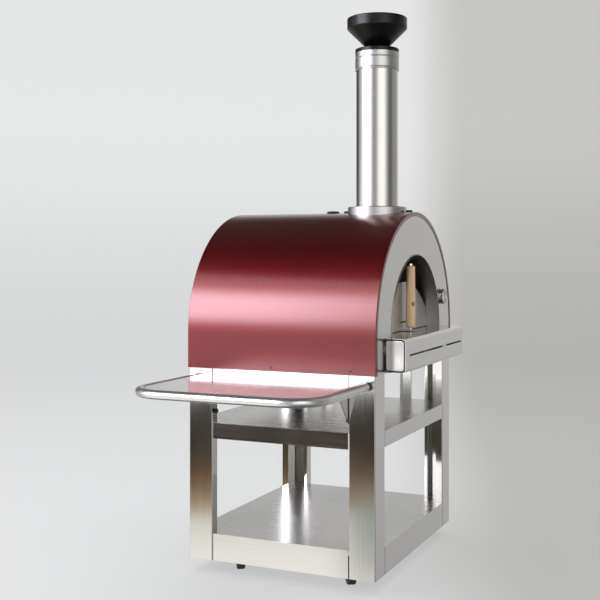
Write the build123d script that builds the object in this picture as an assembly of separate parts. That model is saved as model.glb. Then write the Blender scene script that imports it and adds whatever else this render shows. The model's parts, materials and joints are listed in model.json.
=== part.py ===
from build123d import *
import os
from math import cos, radians, sin, sqrt

# Wood fired pizza oven on a rolling sheet-metal cart, in millimetres.
# +Z is up, the mouth faces -Y and the folding shelf is on the -X side.
# Sub-parts are drawn about the middle of the cart with Z = 0 at the leg feet,
# then moved so that the origin is below the middle of the whole object, on the floor.

# ---- cart ----
CART_WIDTH = 920.0
CART_DEPTH = 748.0
LEG_HEIGHT = 720.0
LEG_FLANGE = 99.0
LEG_LIP = 40.0
LEG_INNER_LIP = 30.0
LEG_RETURN = 15.0
SHEET = 2.0
BEND = 4.0
SEAM = 3.0
SLOT_GAP = 0.5
CUT = 1.0
FLOOR_GAP = 50.0
LOWER_TOP = 100.0
MIDDLE_TOP = 516.0
MIDDLE_SKIRT = 59.0
BASE_SKIRT = 58.0
UPSTAND_HEIGHT = 34.0
UPRIGHT_Y = 184.0
UPRIGHT_WIDTH = 50.0
UPRIGHT_DEPTH = 20.0
UPRIGHT_INSET = 4.0

# ---- oven body ----
HEARTH = 847.0
SHELL_RADIUS = CART_WIDTH / 2 + 5
SHELL_LENGTH = CART_DEPTH + 10
RIM_WIDTH = 17.0
PANEL = 3.0
DOME_RADIUS = 400.0
DOME_BACK = 300.0
MOUTH_RADIUS = 300.0
SLEEVE_DEPTH = 62.0
TILE = 40.0
TILE_JOINT = 1.0
FIT = 0.5
SNUG_GAP = 0.1
HOLE_GAP = 0.2
PROBE_GAP = 0.3
FLUE_GAP = 1.0
BOARD_GAP = 2.0
UPSTAND_INSET = 20.0
UPSTAND_POCKET = 14.0
# each crest plug as its Y and its radius
CREST_PLUGS = ((-346.0, 13.0), (-84.0, 11.0), (-25.0, 25.0))
PLUG_RISE = 8.0
PLUG_SINK = 12.0

# ---- shell screws ----
SCREW_RADIUS = 2.5
SCREW_HEAD = 4.6
SCREW_Z = LEG_HEIGHT + 14
SCREW_YS = (-281.0, 28.0, 337.0)
SCREW_HEAD_HEIGHT = 2.5
SCREW_LENGTH = 10.0

# ---- landing in front of the mouth ----
LANDING_WIDTH = 750.0
LANDING_HEIGHT = 122.0
LANDING_DEPTH = 78.0
LANDING_BEND = 15.0
END_GAP = 4.0
END_INSET = 12.0
SLOT_HEIGHT = 7.0
LONG_SLOT = (-329.0, 106.0)
SHORT_SLOT = (131.0, 347.0)

# ---- door ----
DOOR_HEIGHT = 192.0
DOOR_ARC = 413.0
DOOR_SIDE_GAP = 5.0
DOOR_LIFT = 1.5
HANDLE_Y = -351.5
HANDLE_RADIUS = 19.0
HANDLE_BOTTOM = 15.0
HANDLE_LENGTH = 240.0
ROD_RADIUS = 5.0
ROD_STEP = 3.0
FOOT_HALF = 30.0
FOOT_REACH = 17.0
DOOR_SLOT_Z = 35.0
DOOR_SLOT_HALF = 32.0
DOOR_SLOT_HEIGHT = 5.0
NUT_SIZE = 8.0
NUT_HEIGHT = 9.0
GRIP_ROUND = 3.0

# ---- thermometer ----
GAUGE_X = 328.0
GAUGE_Z = 971.0
GAUGE_RADIUS = 32.5
GAUGE_DEPTH = 16.0
GAUGE_WALL = 2.5
CASE_RADIUS = GAUGE_RADIUS - 1.5
LENS_THICKNESS = 2.0
BEZEL_THICKNESS = 2.0
BEZEL_DEPTH = 8.0
BEZEL_LIP = 5.0
BEZEL_BORE = GAUGE_RADIUS - 1.4
DIAL_THICKNESS = 1.0
NEEDLE_ANGLE = 225.0
NEEDLE_TIP = 20.0
NEEDLE_TAIL = 4.0
NEEDLE_WIDTH = 1.8
NEEDLE_THICKNESS = 1.0
NEEDLE_HUB = 3.0
HUB_HEIGHT = 2.5
PROBE_RADIUS = 3.0
PROBE_REACH = 30.0

# ---- chimney ----
FLUE_Y = -213.0
FLUE_RADIUS = 82.5
FLUE_WALL = 2.0
FLANGE_RADIUS = 115.5
FLANGE_TOP = 1334.0
FLANGE_SINK = 30.0
FLANGE_ROUND = 5.0
PIPE_INTO_DOME = 20.0
COLLAR_OVERLAP = 10.0
COLLAR_BOTTOM = 1872.5
COLLAR_TOP = 1943.0
RING_TOP = 1958.0
COLLAR_RADIUS = 86.5
CAP_RADIUS = 118.5
CAP_RIM_BOTTOM = 2039.0
CAP_RIM_TOP = 2080.0
CAP_CROWN = 8.0
CAP_TIP_RADIUS = 12.0
CAP_WALL = 2.0
BEAD_HEIGHT = 3.0
LOW_GROOVE = 4.5
HIGH_GROOVE = 23.5
GROOVE_DEPTH = 1.5
POST_RADIUS = 8.0
BAR_HALF = 6.0
BAR_THICKNESS = 3.0
BAR_INSET = 10.0

# ---- folding side shelf ----
SHELF_Z = 682.0
SHELF_REACH = 472.0
SHELF_ARM_Y = 342.0
SHELF_CORNER = 118.0
TUBE_RADIUS = 16.0
TUBE_WALL = 2.0
TRAY_DROP = 3.0
TRAY_RIM = 15.0
PLUG_LENGTH = 16.0
SPIGOT_LENGTH = 12.0
BRACKET = 3.0
BRACKET_GAP = 1.5
BRACKET_TOP_LENGTH = 106.0
BRACKET_EDGE = 22.0
PIVOT_IN = 13.0
PIVOT_Z = 645.0
KNOB_Z = 559.0
KNOB_RADIUS = 9.0
STUD_RADIUS = 3.0
KNOB_LENGTH = 9.6
RUNNING_GAP = 0.06
PIVOT_END_PLAY = 0.4

# ---- casters ----
CASTER_X = 330.0
CASTER_Y = 225.0
CASTER_TRAIL = 35.0
CASTER_ANGLE = 210.0
WHEEL_RADIUS = 50.0
WHEEL_WIDTH = 32.0
WHEEL_ROUND = 5.0
HUB_RADIUS = 12.0
HUB_STEP = 3.0
KINGPIN = 6.0
AXLE = 5.0
AXLE_HEAD = 8.0
CASTER_SHEET = 3.0
CASTER_PLATE_X = 45.0
CASTER_PLATE_Y = 35.0
RACE_RADIUS = 24.0
CROWN_RADIUS = 28.0
CROWN_THICKNESS = 4.0
CHEEK_GAP = 4.0

HALF_WIDTH = CART_WIDTH / 2
HALF_DEPTH = CART_DEPTH / 2
SHELL_FRONT = -SHELL_LENGTH / 2
SHELL_BACK = SHELL_LENGTH / 2
PANEL_FRONT = SHELL_FRONT + SHEET
LANDING_FRONT = SHELL_FRONT - LANDING_DEPTH
LEG_EDGE_Y = HALF_DEPTH - LEG_FLANGE
LEG_EDGE_X = HALF_WIDTH - LEG_FLANGE
SLEEVE_BACK = SHELL_FRONT + SLEEVE_DEPTH
CREST = HEARTH + SHELL_RADIUS
SHELF_OUTER_X = -HALF_WIDTH - SHELF_REACH
PIVOT_X = -HALF_WIDTH + PIVOT_IN
DOOR_FRONT = SLEEVE_BACK - 6.0
BASE_TOP = LEG_HEIGHT + SHEET
GAUGE_BACK = PANEL_FRONT
GAUGE_FACE = GAUGE_BACK - GAUGE_DEPTH
TRAY_TOP = SHELF_Z + TUBE_RADIUS - TRAY_DROP
CAP_TIP_Z = CAP_RIM_BOTTOM - (CAP_RADIUS - CAP_TIP_RADIUS)
PLATE_TOP = LOWER_TOP - SHEET
CROWN_TOP = PLATE_TOP - 11
AXLE_Z = WHEEL_RADIUS - FLOOR_GAP
CHEEK_INSIDE = WHEEL_WIDTH / 2 + CHEEK_GAP

LEFT_END = SHELF_OUTER_X - TUBE_RADIUS
RIGHT_END = SHELL_RADIUS + SCREW_HEAD_HEIGHT
PLACE = Pos(
    -(LEFT_END + RIGHT_END) / 2,
    -(LANDING_FRONT + SHELL_BACK) / 2,
    FLOOR_GAP,
)


def block(x0, x1, y0, y1, z0, z1):
    """A box between two corners."""
    middle = Pos((x0 + x1) / 2, (y0 + y1) / 2, (z0 + z1) / 2)
    return middle * Box(x1 - x0, y1 - y0, z1 - z0)


def rod_x(radius, x0, x1, y, z):
    """A cylinder along X."""
    return Pos((x0 + x1) / 2, y, z) * Rot(0, 90, 0) * Cylinder(radius, x1 - x0)


def rod_y(radius, x, y0, y1, z):
    """A cylinder along Y."""
    return Pos(x, (y0 + y1) / 2, z) * Rot(90, 0, 0) * Cylinder(radius, y1 - y0)


def rod_z(radius, x, y, z0, z1):
    """A cylinder along Z."""
    return Pos(x, y, (z0 + z1) / 2) * Cylinder(radius, z1 - z0)


def inner_path(points, thickness):
    """The path parallel to an open right-angled path, on its left."""
    shifted = []
    for i, (x, y) in enumerate(points):
        moves = []
        for j in (i - 1, i):
            if 0 <= j < len(points) - 1:
                dx = points[j + 1][0] - points[j][0]
                dy = points[j + 1][1] - points[j][1]
                length = sqrt(dx * dx + dy * dy)
                moves.append((-dy / length * thickness, dx / length * thickness))
        shifted.append((x + sum(m[0] for m in moves), y + sum(m[1] for m in moves)))
    return shifted


def bent_sheet(points, thickness, bend):
    """The section of a sheet bent along an open path whose corners all turn left."""
    outside = FilletPolyline(*points, radius=bend)
    inside_points = inner_path(points, thickness)
    inside = FilletPolyline(*inside_points, radius=bend - thickness)
    ends = [Line(points[0], inside_points[0]), Line(points[-1], inside_points[-1])]
    return make_face([outside, inside] + ends)


def arch_face(radius, bottom):
    """A half disc standing on a straight-sided part of the same width."""
    dome = Pos(0, HEARTH) * Circle(radius) & Pos(0, HEARTH + radius / 2) * Rectangle(2 * radius, radius)
    wall = Pos(0, (HEARTH + bottom) / 2) * Rectangle(2 * radius, HEARTH - bottom)
    return dome + wall


def arch_block(radius, bottom, front, back):
    """A solid arch along Y."""
    return extrude(Plane.XZ.offset(-back) * arch_face(radius, bottom), back - front)


def half_disc_block(radius, front, back):
    """A solid half cylinder along Y standing on the hearth level."""
    upper = block(-radius, radius, front, back, HEARTH, HEARTH + radius)
    return rod_y(radius, 0, front, back, HEARTH) & upper


def leg_section(grow):
    """The section of the front left leg, made larger all round by a clearance."""
    x0 = -HALF_WIDTH - grow
    y0 = -HALF_DEPTH - grow
    x1 = -LEG_EDGE_X + grow
    y1 = -LEG_EDGE_Y + grow
    lip_x = -HALF_WIDTH + LEG_LIP + grow
    lip_y = -HALF_DEPTH + LEG_INNER_LIP + grow
    return_y = -LEG_EDGE_Y - LEG_RETURN - grow
    path = [(lip_x, return_y), (lip_x, y1), (x0, y1), (x0, y0), (x1, y0), (x1, lip_y)]
    return bent_sheet(path, SHEET + 2 * grow, BEND + grow)


def four_corners(shape):
    """Copies of a front left shape at all four corners of the cart."""
    front_right = mirror(shape, Plane.YZ)
    return {
        "front_left": shape,
        "front_right": front_right,
        "back_left": mirror(shape, Plane.XZ),
        "back_right": mirror(front_right, Plane.XZ),
    }


def pivot_places():
    """The two pivots of the side shelf, as the Y of a leg lip and the way to the middle."""
    return [(-LEG_EDGE_Y, 1), (LEG_EDGE_Y, -1)]


def legs():
    """Four bent corner legs. The left ones are drilled for the shelf pivots."""
    plain = four_corners(extrude(leg_section(0), LEG_HEIGHT))
    for name in ("front_left", "back_left"):
        for y, inward in pivot_places():
            hole = rod_y(ROD_RADIUS + HOLE_GAP, PIVOT_X, y - LEG_LIP / 8, y + LEG_LIP / 8, PIVOT_Z)
            plain[name] = plain[name] - hole
    return {"leg_" + name: shape for name, shape in plain.items()}


def shelf_tray(top, skirt):
    """A shelf with skirts between the legs and slots for the legs."""
    inside = SHEET + FIT
    end_x = LEG_EDGE_X - SEAM
    end_y = LEG_EDGE_Y - SEAM
    tray = block(-HALF_WIDTH + inside, HALF_WIDTH - inside,
                 -HALF_DEPTH + inside, HALF_DEPTH - inside, top - SHEET, top)
    for side in (-1, 1):
        x0, x1 = sorted((side * HALF_WIDTH, side * (HALF_WIDTH - SHEET)))
        y0, y1 = sorted((side * HALF_DEPTH, side * (HALF_DEPTH - SHEET)))
        tray += block(x0, x1, -end_y, end_y, top - skirt, top)
        tray += block(-end_x, end_x, y0, y1, top - skirt, top)
        tray += block(*sorted((side * HALF_WIDTH, side * (HALF_WIDTH - 2 * inside))),
                      -end_y, end_y, top - SHEET, top)
        tray += block(-end_x, end_x,
                      *sorted((side * HALF_DEPTH, side * (HALF_DEPTH - 2 * inside))), top - SHEET, top)
    for slot in four_corners(extrude(leg_section(SLOT_GAP), LEG_HEIGHT)).values():
        tray -= slot
    return tray


def oven_base():
    """The plate the oven stands on, with skirts on three sides and an upstand for the shell."""
    end_x = LEG_EDGE_X - SEAM
    end_y = LEG_EDGE_Y - SEAM
    edge_x = SHELL_RADIUS - SHEET - FIT
    edge_y = HALF_DEPTH
    base = block(-edge_x, edge_x, -edge_y, edge_y, LEG_HEIGHT, BASE_TOP)
    for side in (-1, 1):
        x0, x1 = sorted((side * HALF_WIDTH, side * (HALF_WIDTH - SHEET)))
        base += block(x0, x1, -end_y, end_y, LEG_HEIGHT - BASE_SKIRT, LEG_HEIGHT)
        u0, u1 = sorted((side * edge_x, side * (edge_x - SHEET)))
        base += block(u0, u1, -HALF_DEPTH + UPSTAND_INSET, HALF_DEPTH - UPSTAND_INSET,
                      LEG_HEIGHT, BASE_TOP + UPSTAND_HEIGHT)
    base += block(-end_x, end_x, HALF_DEPTH - SHEET, HALF_DEPTH, LEG_HEIGHT - BASE_SKIRT, LEG_HEIGHT)
    return base - screw_shanks(SCREW_RADIUS + HOLE_GAP)


def side_upright(y):
    """A channel between the middle shelf and the oven base on the right side."""
    x1 = HALF_WIDTH - UPRIGHT_INSET
    x0 = x1 - UPRIGHT_DEPTH
    y0 = y - UPRIGHT_WIDTH / 2
    y1 = y + UPRIGHT_WIDTH / 2
    path = [(x0, y0), (x1, y0), (x1, y1), (x0, y1)]
    channel = extrude(bent_sheet(path, SHEET, BEND), LEG_HEIGHT - MIDDLE_TOP)
    return Pos(0, 0, MIDDLE_TOP) * channel


def screw_shanks(radius):
    """The shanks of the shell screws, as solids or as hole cutters."""
    shanks = []
    for side in (-1, 1):
        x0, x1 = sorted((side * (SHELL_RADIUS - SCREW_LENGTH), side * SHELL_RADIUS))
        shanks += [rod_x(radius, x0, x1, y, SCREW_Z) for y in SCREW_YS]
    return Compound(shanks)


def shell_screws():
    """Six button-headed screws along the lower edges of the shell."""
    screws = []
    for side in (-1, 1):
        for y in SCREW_YS:
            h0, h1 = sorted((side * SHELL_RADIUS, side * (SHELL_RADIUS + SCREW_HEAD_HEIGHT)))
            s0, s1 = sorted((side * (SHELL_RADIUS - SCREW_LENGTH), side * SHELL_RADIUS))
            head = rod_x(SCREW_HEAD, h0, h1, y, SCREW_Z)
            screws.append(head + rod_x(SCREW_RADIUS, s0, s1, y, SCREW_Z))
    return Compound(screws)


def outer_shell():
    """The vaulted outer skin with a return rim at each end and a hole for the flue."""
    shell = arch_block(SHELL_RADIUS, LEG_HEIGHT, SHELL_FRONT, SHELL_BACK)
    shell -= arch_block(SHELL_RADIUS - SHEET, LEG_HEIGHT, SHELL_FRONT + SHEET, SHELL_BACK - SHEET)
    shell -= arch_block(SHELL_RADIUS - RIM_WIDTH, LEG_HEIGHT, SHELL_FRONT, SHELL_BACK)
    shell -= flue_cutter(FLUE_RADIUS + FLUE_GAP)
    return shell - screw_shanks(SCREW_RADIUS + HOLE_GAP)


def flue_cutter(radius):
    """A cylinder for cutting the flue's way through the vault."""
    return rod_z(radius, 0, FLUE_Y, HEARTH + DOME_RADIUS / 2, CREST + CUT)


def gauge_rod(radius, y0, y1):
    """A cylinder on the thermometer's axis."""
    return rod_y(radius, GAUGE_X, y0, y1, GAUGE_Z)


def tongue_cutter(front, back):
    """The flat slit that the landing's tongue passes through."""
    return block(-MOUTH_RADIUS, MOUTH_RADIUS, front, back, HEARTH - SHEET - FIT, HEARTH + FIT)


def front_panel():
    """The flat front of the oven with the round mouth in it."""
    back = PANEL_FRONT + PANEL
    panel = arch_block(SHELL_RADIUS - SHEET - FIT, BASE_TOP, PANEL_FRONT, back)
    panel -= half_disc_block(MOUTH_RADIUS, PANEL_FRONT - CUT, back + CUT)
    panel -= tongue_cutter(PANEL_FRONT - CUT, back + CUT)
    return panel - gauge_rod(PROBE_RADIUS + PROBE_GAP, PANEL_FRONT - CUT, back + CUT)


def back_panel():
    """The flat back of the oven."""
    front = SHELL_BACK - SHEET - PANEL
    return arch_block(SHELL_RADIUS - SHEET - FIT, BASE_TOP, front, front + PANEL)


def mouth_sleeve():
    """The round tunnel behind the mouth, with a flange that closes the front of the dome."""
    front = PANEL_FRONT - PANEL
    back = SLEEVE_BACK + PANEL
    tube = half_disc_block(MOUTH_RADIUS - FIT, front, SLEEVE_BACK)
    flange = arch_block(DOME_RADIUS + PANEL, BASE_TOP, SLEEVE_BACK, back)
    sleeve = tube + flange
    sleeve -= half_disc_block(MOUTH_RADIUS - PANEL, front - CUT, back + CUT)
    sleeve -= tongue_cutter(front - CUT, back + CUT)
    return sleeve - gauge_rod(PROBE_RADIUS + PROBE_GAP, SLEEVE_BACK - CUT, back + CUT)


def inner_dome():
    """The vault over the hearth."""
    front = SLEEVE_BACK + PANEL
    dome = arch_block(DOME_RADIUS + PANEL, BASE_TOP, front, DOME_BACK)
    dome -= arch_block(DOME_RADIUS, BASE_TOP, front, DOME_BACK)
    return dome - flue_cutter(FLUE_RADIUS + FLUE_GAP)


def dome_back_wall():
    """The plate that closes the back of the dome."""
    return arch_block(DOME_RADIUS + PANEL, BASE_TOP, DOME_BACK, DOME_BACK + PANEL)


def insulation_blanket():
    """The insulation that fills the space between the dome and the outer skin."""
    front = PANEL_FRONT + PANEL + FIT
    back = SHELL_BACK - SHEET - PANEL - FIT
    wool = arch_block(SHELL_RADIUS - SHEET - FIT, BASE_TOP, front, back)
    wool -= arch_block(DOME_RADIUS + PANEL + FIT, BASE_TOP, SLEEVE_BACK - FIT, DOME_BACK + PANEL + FIT)
    wool -= rod_y(MOUTH_RADIUS, 0, front - CUT, SLEEVE_BACK, HEARTH)
    wool -= flue_cutter(FLUE_RADIUS + FLUE_GAP)
    wool -= gauge_rod(PROBE_RADIUS + PROBE_GAP, front - CUT, SLEEVE_BACK)
    for side in (-1, 1):
        x0, x1 = sorted((side * SHELL_RADIUS, side * (SHELL_RADIUS - UPSTAND_POCKET)))
        wool -= block(x0, x1, front - CUT, back + CUT, BASE_TOP, BASE_TOP + UPSTAND_HEIGHT + FIT)
    return wool


def floor_board():
    """The insulating board under the hearth."""
    half = DOME_RADIUS - BOARD_GAP
    front = SLEEVE_BACK + PANEL + BOARD_GAP
    return block(-half, half, front, DOME_BACK - BOARD_GAP, BASE_TOP, HEARTH - TILE)


def hearth_tiles():
    """Six refractory tiles, three across and two deep."""
    columns = 3
    rows = 2
    half = DOME_RADIUS - BOARD_GAP
    gap = TILE_JOINT / 2
    width = 2 * half / columns
    front = SLEEVE_BACK + PANEL + TILE_JOINT
    depth = (DOME_BACK - TILE_JOINT - front) / rows
    tiles = []
    for column in range(columns):
        for row in range(rows):
            x0 = -half + column * width
            y0 = front + row * depth
            tiles.append(block(x0 + gap, x0 + width - gap, y0 + gap, y0 + depth - gap, HEARTH - TILE, HEARTH))
    return Compound(tiles)


def crest_plugs():
    """Three low black plugs on the crest of the shell."""
    plugs = [rod_z(radius, 0, y, CREST - PLUG_SINK, CREST + PLUG_RISE) for y, radius in CREST_PLUGS]
    solid_shell = arch_block(SHELL_RADIUS, BASE_TOP, SHELL_FRONT, SHELL_BACK)
    return Compound([plug - solid_shell for plug in plugs])


def landing_wrap():
    """The bent sheet of the landing, with a tongue that reaches into the mouth."""
    top_back = SLEEVE_BACK + PANEL
    path = [
        (SHELL_FRONT - FIT, HEARTH - LANDING_HEIGHT),
        (LANDING_FRONT, HEARTH - LANDING_HEIGHT),
        (LANDING_FRONT, HEARTH),
        (top_back, HEARTH),
    ]
    half = LANDING_WIDTH / 2
    section = bent_sheet([(-y, z) for y, z in path], SHEET, LANDING_BEND)
    wrap = extrude(Plane(origin=(half, 0, 0), x_dir=(0, -1, 0), z_dir=(-1, 0, 0)) * section, LANDING_WIDTH)
    for side in (-1, 1):
        x0, x1 = sorted((side * (MOUTH_RADIUS - PANEL - CUT), side * (half + CUT)))
        wrap -= block(x0, x1, SHELL_FRONT - FIT, top_back + CUT, HEARTH - SHEET - CUT, HEARTH + CUT)
    slot_z = HEARTH - LANDING_HEIGHT / 2
    for x0, x1 in (LONG_SLOT, SHORT_SLOT):
        wrap -= block(x0, x1, LANDING_FRONT - CUT, LANDING_FRONT + SHEET + CUT,
                      slot_z - SLOT_HEIGHT / 2, slot_z + SLOT_HEIGHT / 2)
    return wrap


def landing_end(side):
    """The end cap of the landing, set in from the wrap by a dark gap."""
    inset = SHEET + END_GAP
    height = LANDING_HEIGHT - 2 * inset
    depth = LANDING_DEPTH - inset - END_GAP
    face = RectangleRounded(depth, height, LANDING_BEND - inset)
    middle_y = LANDING_FRONT + inset + depth / 2
    middle_z = HEARTH - LANDING_HEIGHT / 2
    origin = (side * (LANDING_WIDTH / 2 - END_INSET), middle_y, middle_z)
    return extrude(Plane(origin=origin, x_dir=(0, 1, 0), z_dir=(side, 0, 0)) * face, END_INSET)


def door_plate():
    """A low arched plate with an air slot and a foot that carries the handle's rod."""
    back = DOOR_FRONT + PANEL
    radius = MOUTH_RADIUS - DOOR_SIDE_GAP
    bottom = HEARTH + DOOR_LIFT
    plate = rod_y(radius, 0, DOOR_FRONT, back, HEARTH)
    plate &= rod_y(DOOR_ARC, 0, DOOR_FRONT, back, HEARTH + DOOR_HEIGHT - DOOR_ARC)
    plate &= block(-radius, radius, DOOR_FRONT, back, bottom, HEARTH + radius)
    slot_z = HEARTH + DOOR_SLOT_Z
    plate -= block(-DOOR_SLOT_HALF, DOOR_SLOT_HALF, DOOR_FRONT - CUT, back + CUT,
                   slot_z - DOOR_SLOT_HEIGHT / 2, slot_z + DOOR_SLOT_HEIGHT / 2)
    foot = block(-FOOT_HALF, FOOT_HALF, HANDLE_Y - FOOT_REACH, back, bottom, bottom + SHEET)
    hole = rod_z(ROD_RADIUS + SNUG_GAP, 0, HANDLE_Y, bottom - CUT, bottom + SHEET + CUT)
    return plate + foot - hole


def door_handle_rod():
    """The steel rod that stands on the door's foot."""
    bottom = HEARTH + DOOR_LIFT
    top = HEARTH + HANDLE_BOTTOM + HANDLE_LENGTH + NUT_HEIGHT / 2
    collar = rod_z(ROD_RADIUS + ROD_STEP, 0, HANDLE_Y, bottom + SHEET, bottom + SHEET + ROD_STEP)
    return rod_z(ROD_RADIUS, 0, HANDLE_Y, bottom, top) + collar


def door_handle_grip():
    """The wooden grip on the rod."""
    bottom = HEARTH + HANDLE_BOTTOM
    top = bottom + HANDLE_LENGTH
    grip = rod_z(HANDLE_RADIUS, 0, HANDLE_Y, bottom, top)
    grip = fillet(grip.edges().filter_by(GeomType.CIRCLE), GRIP_ROUND)
    return grip - rod_z(ROD_RADIUS + SNUG_GAP, 0, HANDLE_Y, bottom - CUT, top + CUT)


def door_handle_nut():
    """The nut that holds the grip down."""
    bottom = HEARTH + HANDLE_BOTTOM + HANDLE_LENGTH
    sides = 6
    nut = Pos(0, HANDLE_Y, bottom) * extrude(RegularPolygon(NUT_SIZE, sides), NUT_HEIGHT)
    return nut - rod_z(ROD_RADIUS + SNUG_GAP, 0, HANDLE_Y, bottom - CUT, bottom + NUT_HEIGHT / 2 + CUT)


def gauge_case():
    """The round cup of the thermometer."""
    front = GAUGE_FACE + BEZEL_THICKNESS
    bottom = GAUGE_BACK - GAUGE_WALL
    cup = gauge_rod(CASE_RADIUS, front, GAUGE_BACK)
    cup -= gauge_rod(CASE_RADIUS - GAUGE_WALL, front - CUT, bottom)
    return cup - gauge_rod(PROBE_RADIUS + SNUG_GAP, bottom - CUT, GAUGE_BACK + CUT)


def gauge_bezel():
    """The ring that holds the glass on the cup."""
    lip_back = GAUGE_FACE + BEZEL_THICKNESS
    ring = gauge_rod(GAUGE_RADIUS, GAUGE_FACE, GAUGE_FACE + BEZEL_DEPTH)
    ring -= gauge_rod(BEZEL_BORE, lip_back, GAUGE_FACE + BEZEL_DEPTH + CUT)
    return ring - gauge_rod(GAUGE_RADIUS - BEZEL_LIP, GAUGE_FACE - CUT, lip_back + CUT)


def gauge_lens():
    """The glass in front of the dial."""
    front = GAUGE_FACE + BEZEL_THICKNESS
    return gauge_rod(CASE_RADIUS - GAUGE_WALL - HOLE_GAP, front, front + LENS_THICKNESS)


def gauge_dial():
    """The printed disc behind the needle."""
    back = GAUGE_BACK - GAUGE_WALL - DIAL_THICKNESS
    return gauge_rod(CASE_RADIUS - GAUGE_WALL - HOLE_GAP, back - DIAL_THICKNESS, back)


def gauge_needle():
    """The needle on its hub, free of the dial and the glass."""
    back = GAUGE_BACK - GAUGE_WALL - 3 * DIAL_THICKNESS
    hub = gauge_rod(NEEDLE_HUB, back - HUB_HEIGHT, back)
    blade = block(-NEEDLE_TAIL, NEEDLE_TIP, -NEEDLE_THICKNESS / 2, NEEDLE_THICKNESS / 2,
                  -NEEDLE_WIDTH / 2, NEEDLE_WIDTH / 2)
    middle = Pos(GAUGE_X, back - HUB_HEIGHT / 2, GAUGE_Z)
    return hub + middle * Rot(0, -NEEDLE_ANGLE, 0) * blade


def gauge_probe():
    """The sensor that reaches through the front panel into the dome."""
    return gauge_rod(PROBE_RADIUS, GAUGE_BACK - GAUGE_WALL, SLEEVE_BACK + PROBE_REACH)


def flue_ring(outer, inner, z0, z1):
    """A ring round the flue's axis."""
    return rod_z(outer, 0, FLUE_Y, z0, z1) - rod_z(inner, 0, FLUE_Y, z0 - CUT, z1 + CUT)


def flue_flange():
    """The polished foot ring that sits saddle-like on the crest."""
    bottom = CREST - FLANGE_SINK
    ring = rod_z(FLANGE_RADIUS, 0, FLUE_Y, bottom, FLANGE_TOP)
    top = ring.edges().filter_by(GeomType.CIRCLE).sort_by(Axis.Z)[-1]
    ring = fillet(top, FLANGE_ROUND)
    ring -= rod_z(FLUE_RADIUS + FIT, 0, FLUE_Y, bottom - CUT, FLANGE_TOP + CUT)
    return ring - arch_block(SHELL_RADIUS, BASE_TOP, SHELL_FRONT, SHELL_BACK)


def flue_pipe():
    """The chimney pipe from the dome to the collar."""
    bottom = HEARTH + DOME_RADIUS - PIPE_INTO_DOME
    return flue_ring(FLUE_RADIUS, FLUE_RADIUS - FLUE_WALL, bottom, COLLAR_TOP - COLLAR_OVERLAP)


def flue_collar():
    """The sleeve round the top of the pipe, with two rolled beads."""
    collar = flue_ring(COLLAR_RADIUS, FLUE_RADIUS + FIT, COLLAR_BOTTOM, COLLAR_TOP)
    for z in (COLLAR_BOTTOM + LOW_GROOVE, COLLAR_TOP - HIGH_GROOVE):
        collar -= flue_ring(COLLAR_RADIUS + CUT, COLLAR_RADIUS - GROOVE_DEPTH, z, z + BEAD_HEIGHT)
    return collar


def flue_top_ring():
    """The dark end ring on the collar."""
    return flue_ring(COLLAR_RADIUS, FLUE_RADIUS - FLUE_WALL, COLLAR_TOP, RING_TOP)


def cap_section():
    """Half the section of the chimney cap: a hollow inverted cone under a short rim."""
    top = CAP_RIM_TOP + CAP_CROWN
    outside = [(0, CAP_TIP_Z), (CAP_TIP_RADIUS, CAP_TIP_Z), (CAP_RADIUS, CAP_RIM_BOTTOM),
               (CAP_RADIUS, CAP_RIM_TOP), (0, top)]
    inside = [(0, CAP_TIP_Z + CAP_WALL), (CAP_TIP_RADIUS - CAP_WALL / 2, CAP_TIP_Z + CAP_WALL),
              (CAP_RADIUS - CAP_WALL, CAP_RIM_BOTTOM + CAP_WALL / 2),
              (CAP_RADIUS - CAP_WALL, CAP_RIM_TOP - CAP_WALL), (0, top - CAP_WALL)]
    return make_face(Polyline(*outside, close=True)) - make_face(Polyline(*inside, close=True))


def chimney_cap():
    """The black cap: an inverted cone with a short cylindrical rim."""
    turned = revolve(Plane.XZ * cap_section(), Axis.Z)
    return Pos(0, FLUE_Y, 0) * turned


def cap_holder():
    """The post and cross bars that carry the cap inside the pipe."""
    bar_top = COLLAR_BOTTOM + BAR_INSET
    bar_bottom = bar_top - BAR_THICKNESS
    reach = FLUE_RADIUS - FLUE_WALL
    post = rod_z(POST_RADIUS, 0, FLUE_Y, bar_bottom, CAP_TIP_Z)
    bars = block(-reach, reach, FLUE_Y - BAR_HALF, FLUE_Y + BAR_HALF, bar_bottom, bar_top)
    bars += block(-BAR_HALF, BAR_HALF, FLUE_Y - reach, FLUE_Y + reach, bar_bottom, bar_top)
    inside = rod_z(reach, 0, FLUE_Y, bar_bottom - CUT, CAP_RIM_TOP)
    return (post + bars) & inside


def side_shelf_rail():
    """The round tube that runs round three sides of the shelf."""
    end_x = -HALF_WIDTH - PLUG_LENGTH
    path = FilletPolyline(
        (end_x, -SHELF_ARM_Y, SHELF_Z),
        (SHELF_OUTER_X, -SHELF_ARM_Y, SHELF_Z),
        (SHELF_OUTER_X, SHELF_ARM_Y, SHELF_Z),
        (end_x, SHELF_ARM_Y, SHELF_Z),
        radius=SHELF_CORNER,
    )
    start = Plane(origin=path @ 0, z_dir=path % 0)
    outside = sweep(start * Circle(TUBE_RADIUS), path)
    return outside - sweep(start * Circle(TUBE_RADIUS - TUBE_WALL), path)


def shelf_outline(edge):
    """The outline of the shelf panel, drawn in by an edge distance."""
    x0 = SHELF_OUTER_X + TUBE_RADIUS + edge
    x1 = -HALF_WIDTH - SEAM - (edge - FIT)
    half = SHELF_ARM_Y - TUBE_RADIUS - edge
    outline = Pos((x0 + x1) / 2, 0) * Rectangle(x1 - x0, 2 * half)
    corners = outline.vertices().group_by(Axis.X)[0]
    return fillet(corners, SHELF_CORNER - TUBE_RADIUS - edge)


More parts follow.
